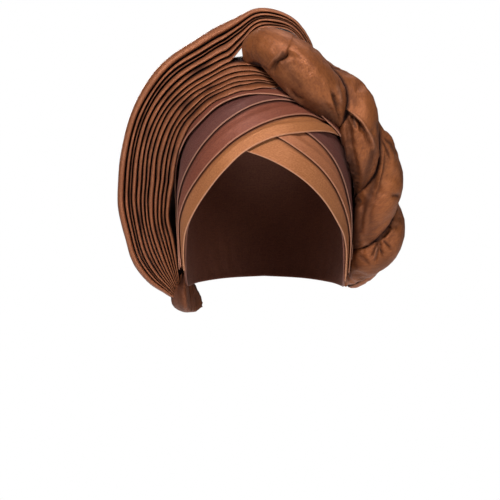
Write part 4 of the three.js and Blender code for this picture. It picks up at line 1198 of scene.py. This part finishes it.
replaced = {
    capShell: ("cap", "cap_cloth"), strandA: ("twist_strand_a", "twist_cloth"),
    strandB: ("twist_strand_b", "twist_cloth"), sideBun: ("side_bun", "pleat_cloth"),
    innerPleats[0]: ("inner_pleats", "pleat_cloth"), outerPleats[0]: ("outer_pleats", "pleat_cloth"),
}
bandSlots = {"low": "bright_cloth", "mid": "shot_cloth", "high": "dusky_cloth", "band": "shot_cloth"}
for name, (piece, _, _) in bands.items():
    node = name[:-len("_cloth")]
    replaced[piece] = (node, bandSlots[node.split("_")[-1]])
for piece, (node, slot) in replaced.items():
    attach(piece, "root")
    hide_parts(node)
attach(hemStitches, "root")
for piece, width, reach in (*bands.values(), innerPleats, outerPleats):
    width * mm
    reach * mm


# camera, light and floor

view = {
    "place": (-0.013, -1.5, -0.145), "lens": 124.1, "sensor": 36, "worldLight": 0.1,
    "floorDrop": 1.2, "floorSize": 5.0, "floorPoints": 64, "floorGlow": 0.55,
    "floorColour": (0.9, 0.9, 0.9, 1), "floorRoughness": 0.8,
}
lights = {  # place, aim, size, power, colour
    "key": ((-0.45, -1.45, 1.05), (0, 0, -0.06), 0.35, 36, (1, 0.97, 0.93)),
    "fill": ((1.0, -1.5, 0.1), (0, 0, -0.08), 0.8, 5.5, (1, 0.98, 0.96)),
    "top": ((0.25, 0.2, 1.4), (0, 0, 0), 0.8, 9, (1, 1, 1)),
    "back": ((-0.3, 1.7, 0.5), (0, 0, -0.08), 1.0, 20, (1, 0.98, 0.97)),
}


def setUpCamera():
    data = bpy.data.cameras.new("camera")
    data.lens, data.sensor_width = view["lens"], view["sensor"]
    camera = link("camera", data)
    camera.location = view["place"]
    camera.rotation_euler = (math.pi / 2, 0, 0)
    bpy.context.scene.camera = camera


def setUpLights():
    for name, (place, aim, size, power, colour) in lights.items():
        data = bpy.data.lights.new(name, "AREA")
        data.shape, data.size, data.energy, data.color = "DISK", size, power, colour
        lamp = link(name, data)
        lamp.location = place
        lamp.rotation_euler = (Vector(aim) - Vector(place)).to_track_quat("-Z", "Y").to_euler()
    world = bpy.data.worlds.new("studio")
    bpy.context.scene.world = world
    world.use_nodes = True
    tree = world.node_tree
    tree.nodes.clear()
    seen = Wire.node(tree, "ShaderNodeLightPath", output=0)
    strength = view["worldLight"] + seen * (1 - view["worldLight"])
    studio = Wire.node(tree, "ShaderNodeBackground", inputs={"Color": (1, 1, 1, 1), "Strength": strength})
    Wire.node(tree, "ShaderNodeOutputWorld", inputs={"Surface": studio})
    bpy.context.scene.view_settings.view_transform = "Standard"


def setUpFloor():
    count, size = view["floorPoints"], view["floorSize"]
    angles = [2 * math.pi * k / count for k in range(count)]
    points = [(size * math.cos(angle), size * math.sin(angle), -view["floorDrop"]) for angle in angles]
    mesh = bpy.data.meshes.new("floor")
    mesh.from_pydata(points, [], [list(range(count))])
    floor = link("floor", mesh)
    material = bpy.data.materials.new("floor_pale")
    material.use_nodes = True
    surface = material.node_tree.nodes["Principled BSDF"]
    surface.inputs["Base Color"].default_value = view["floorColour"]
    surface.inputs["Roughness"].default_value = view["floorRoughness"]
    surface.inputs["Emission Color"].default_value = (1, 1, 1, 1)
    surface.inputs["Emission Strength"].default_value = view["floorGlow"]
    mesh.materials.append(material)


setUpCamera()
setUpLights()
setUpFloor()
print("camera, light and floor set")
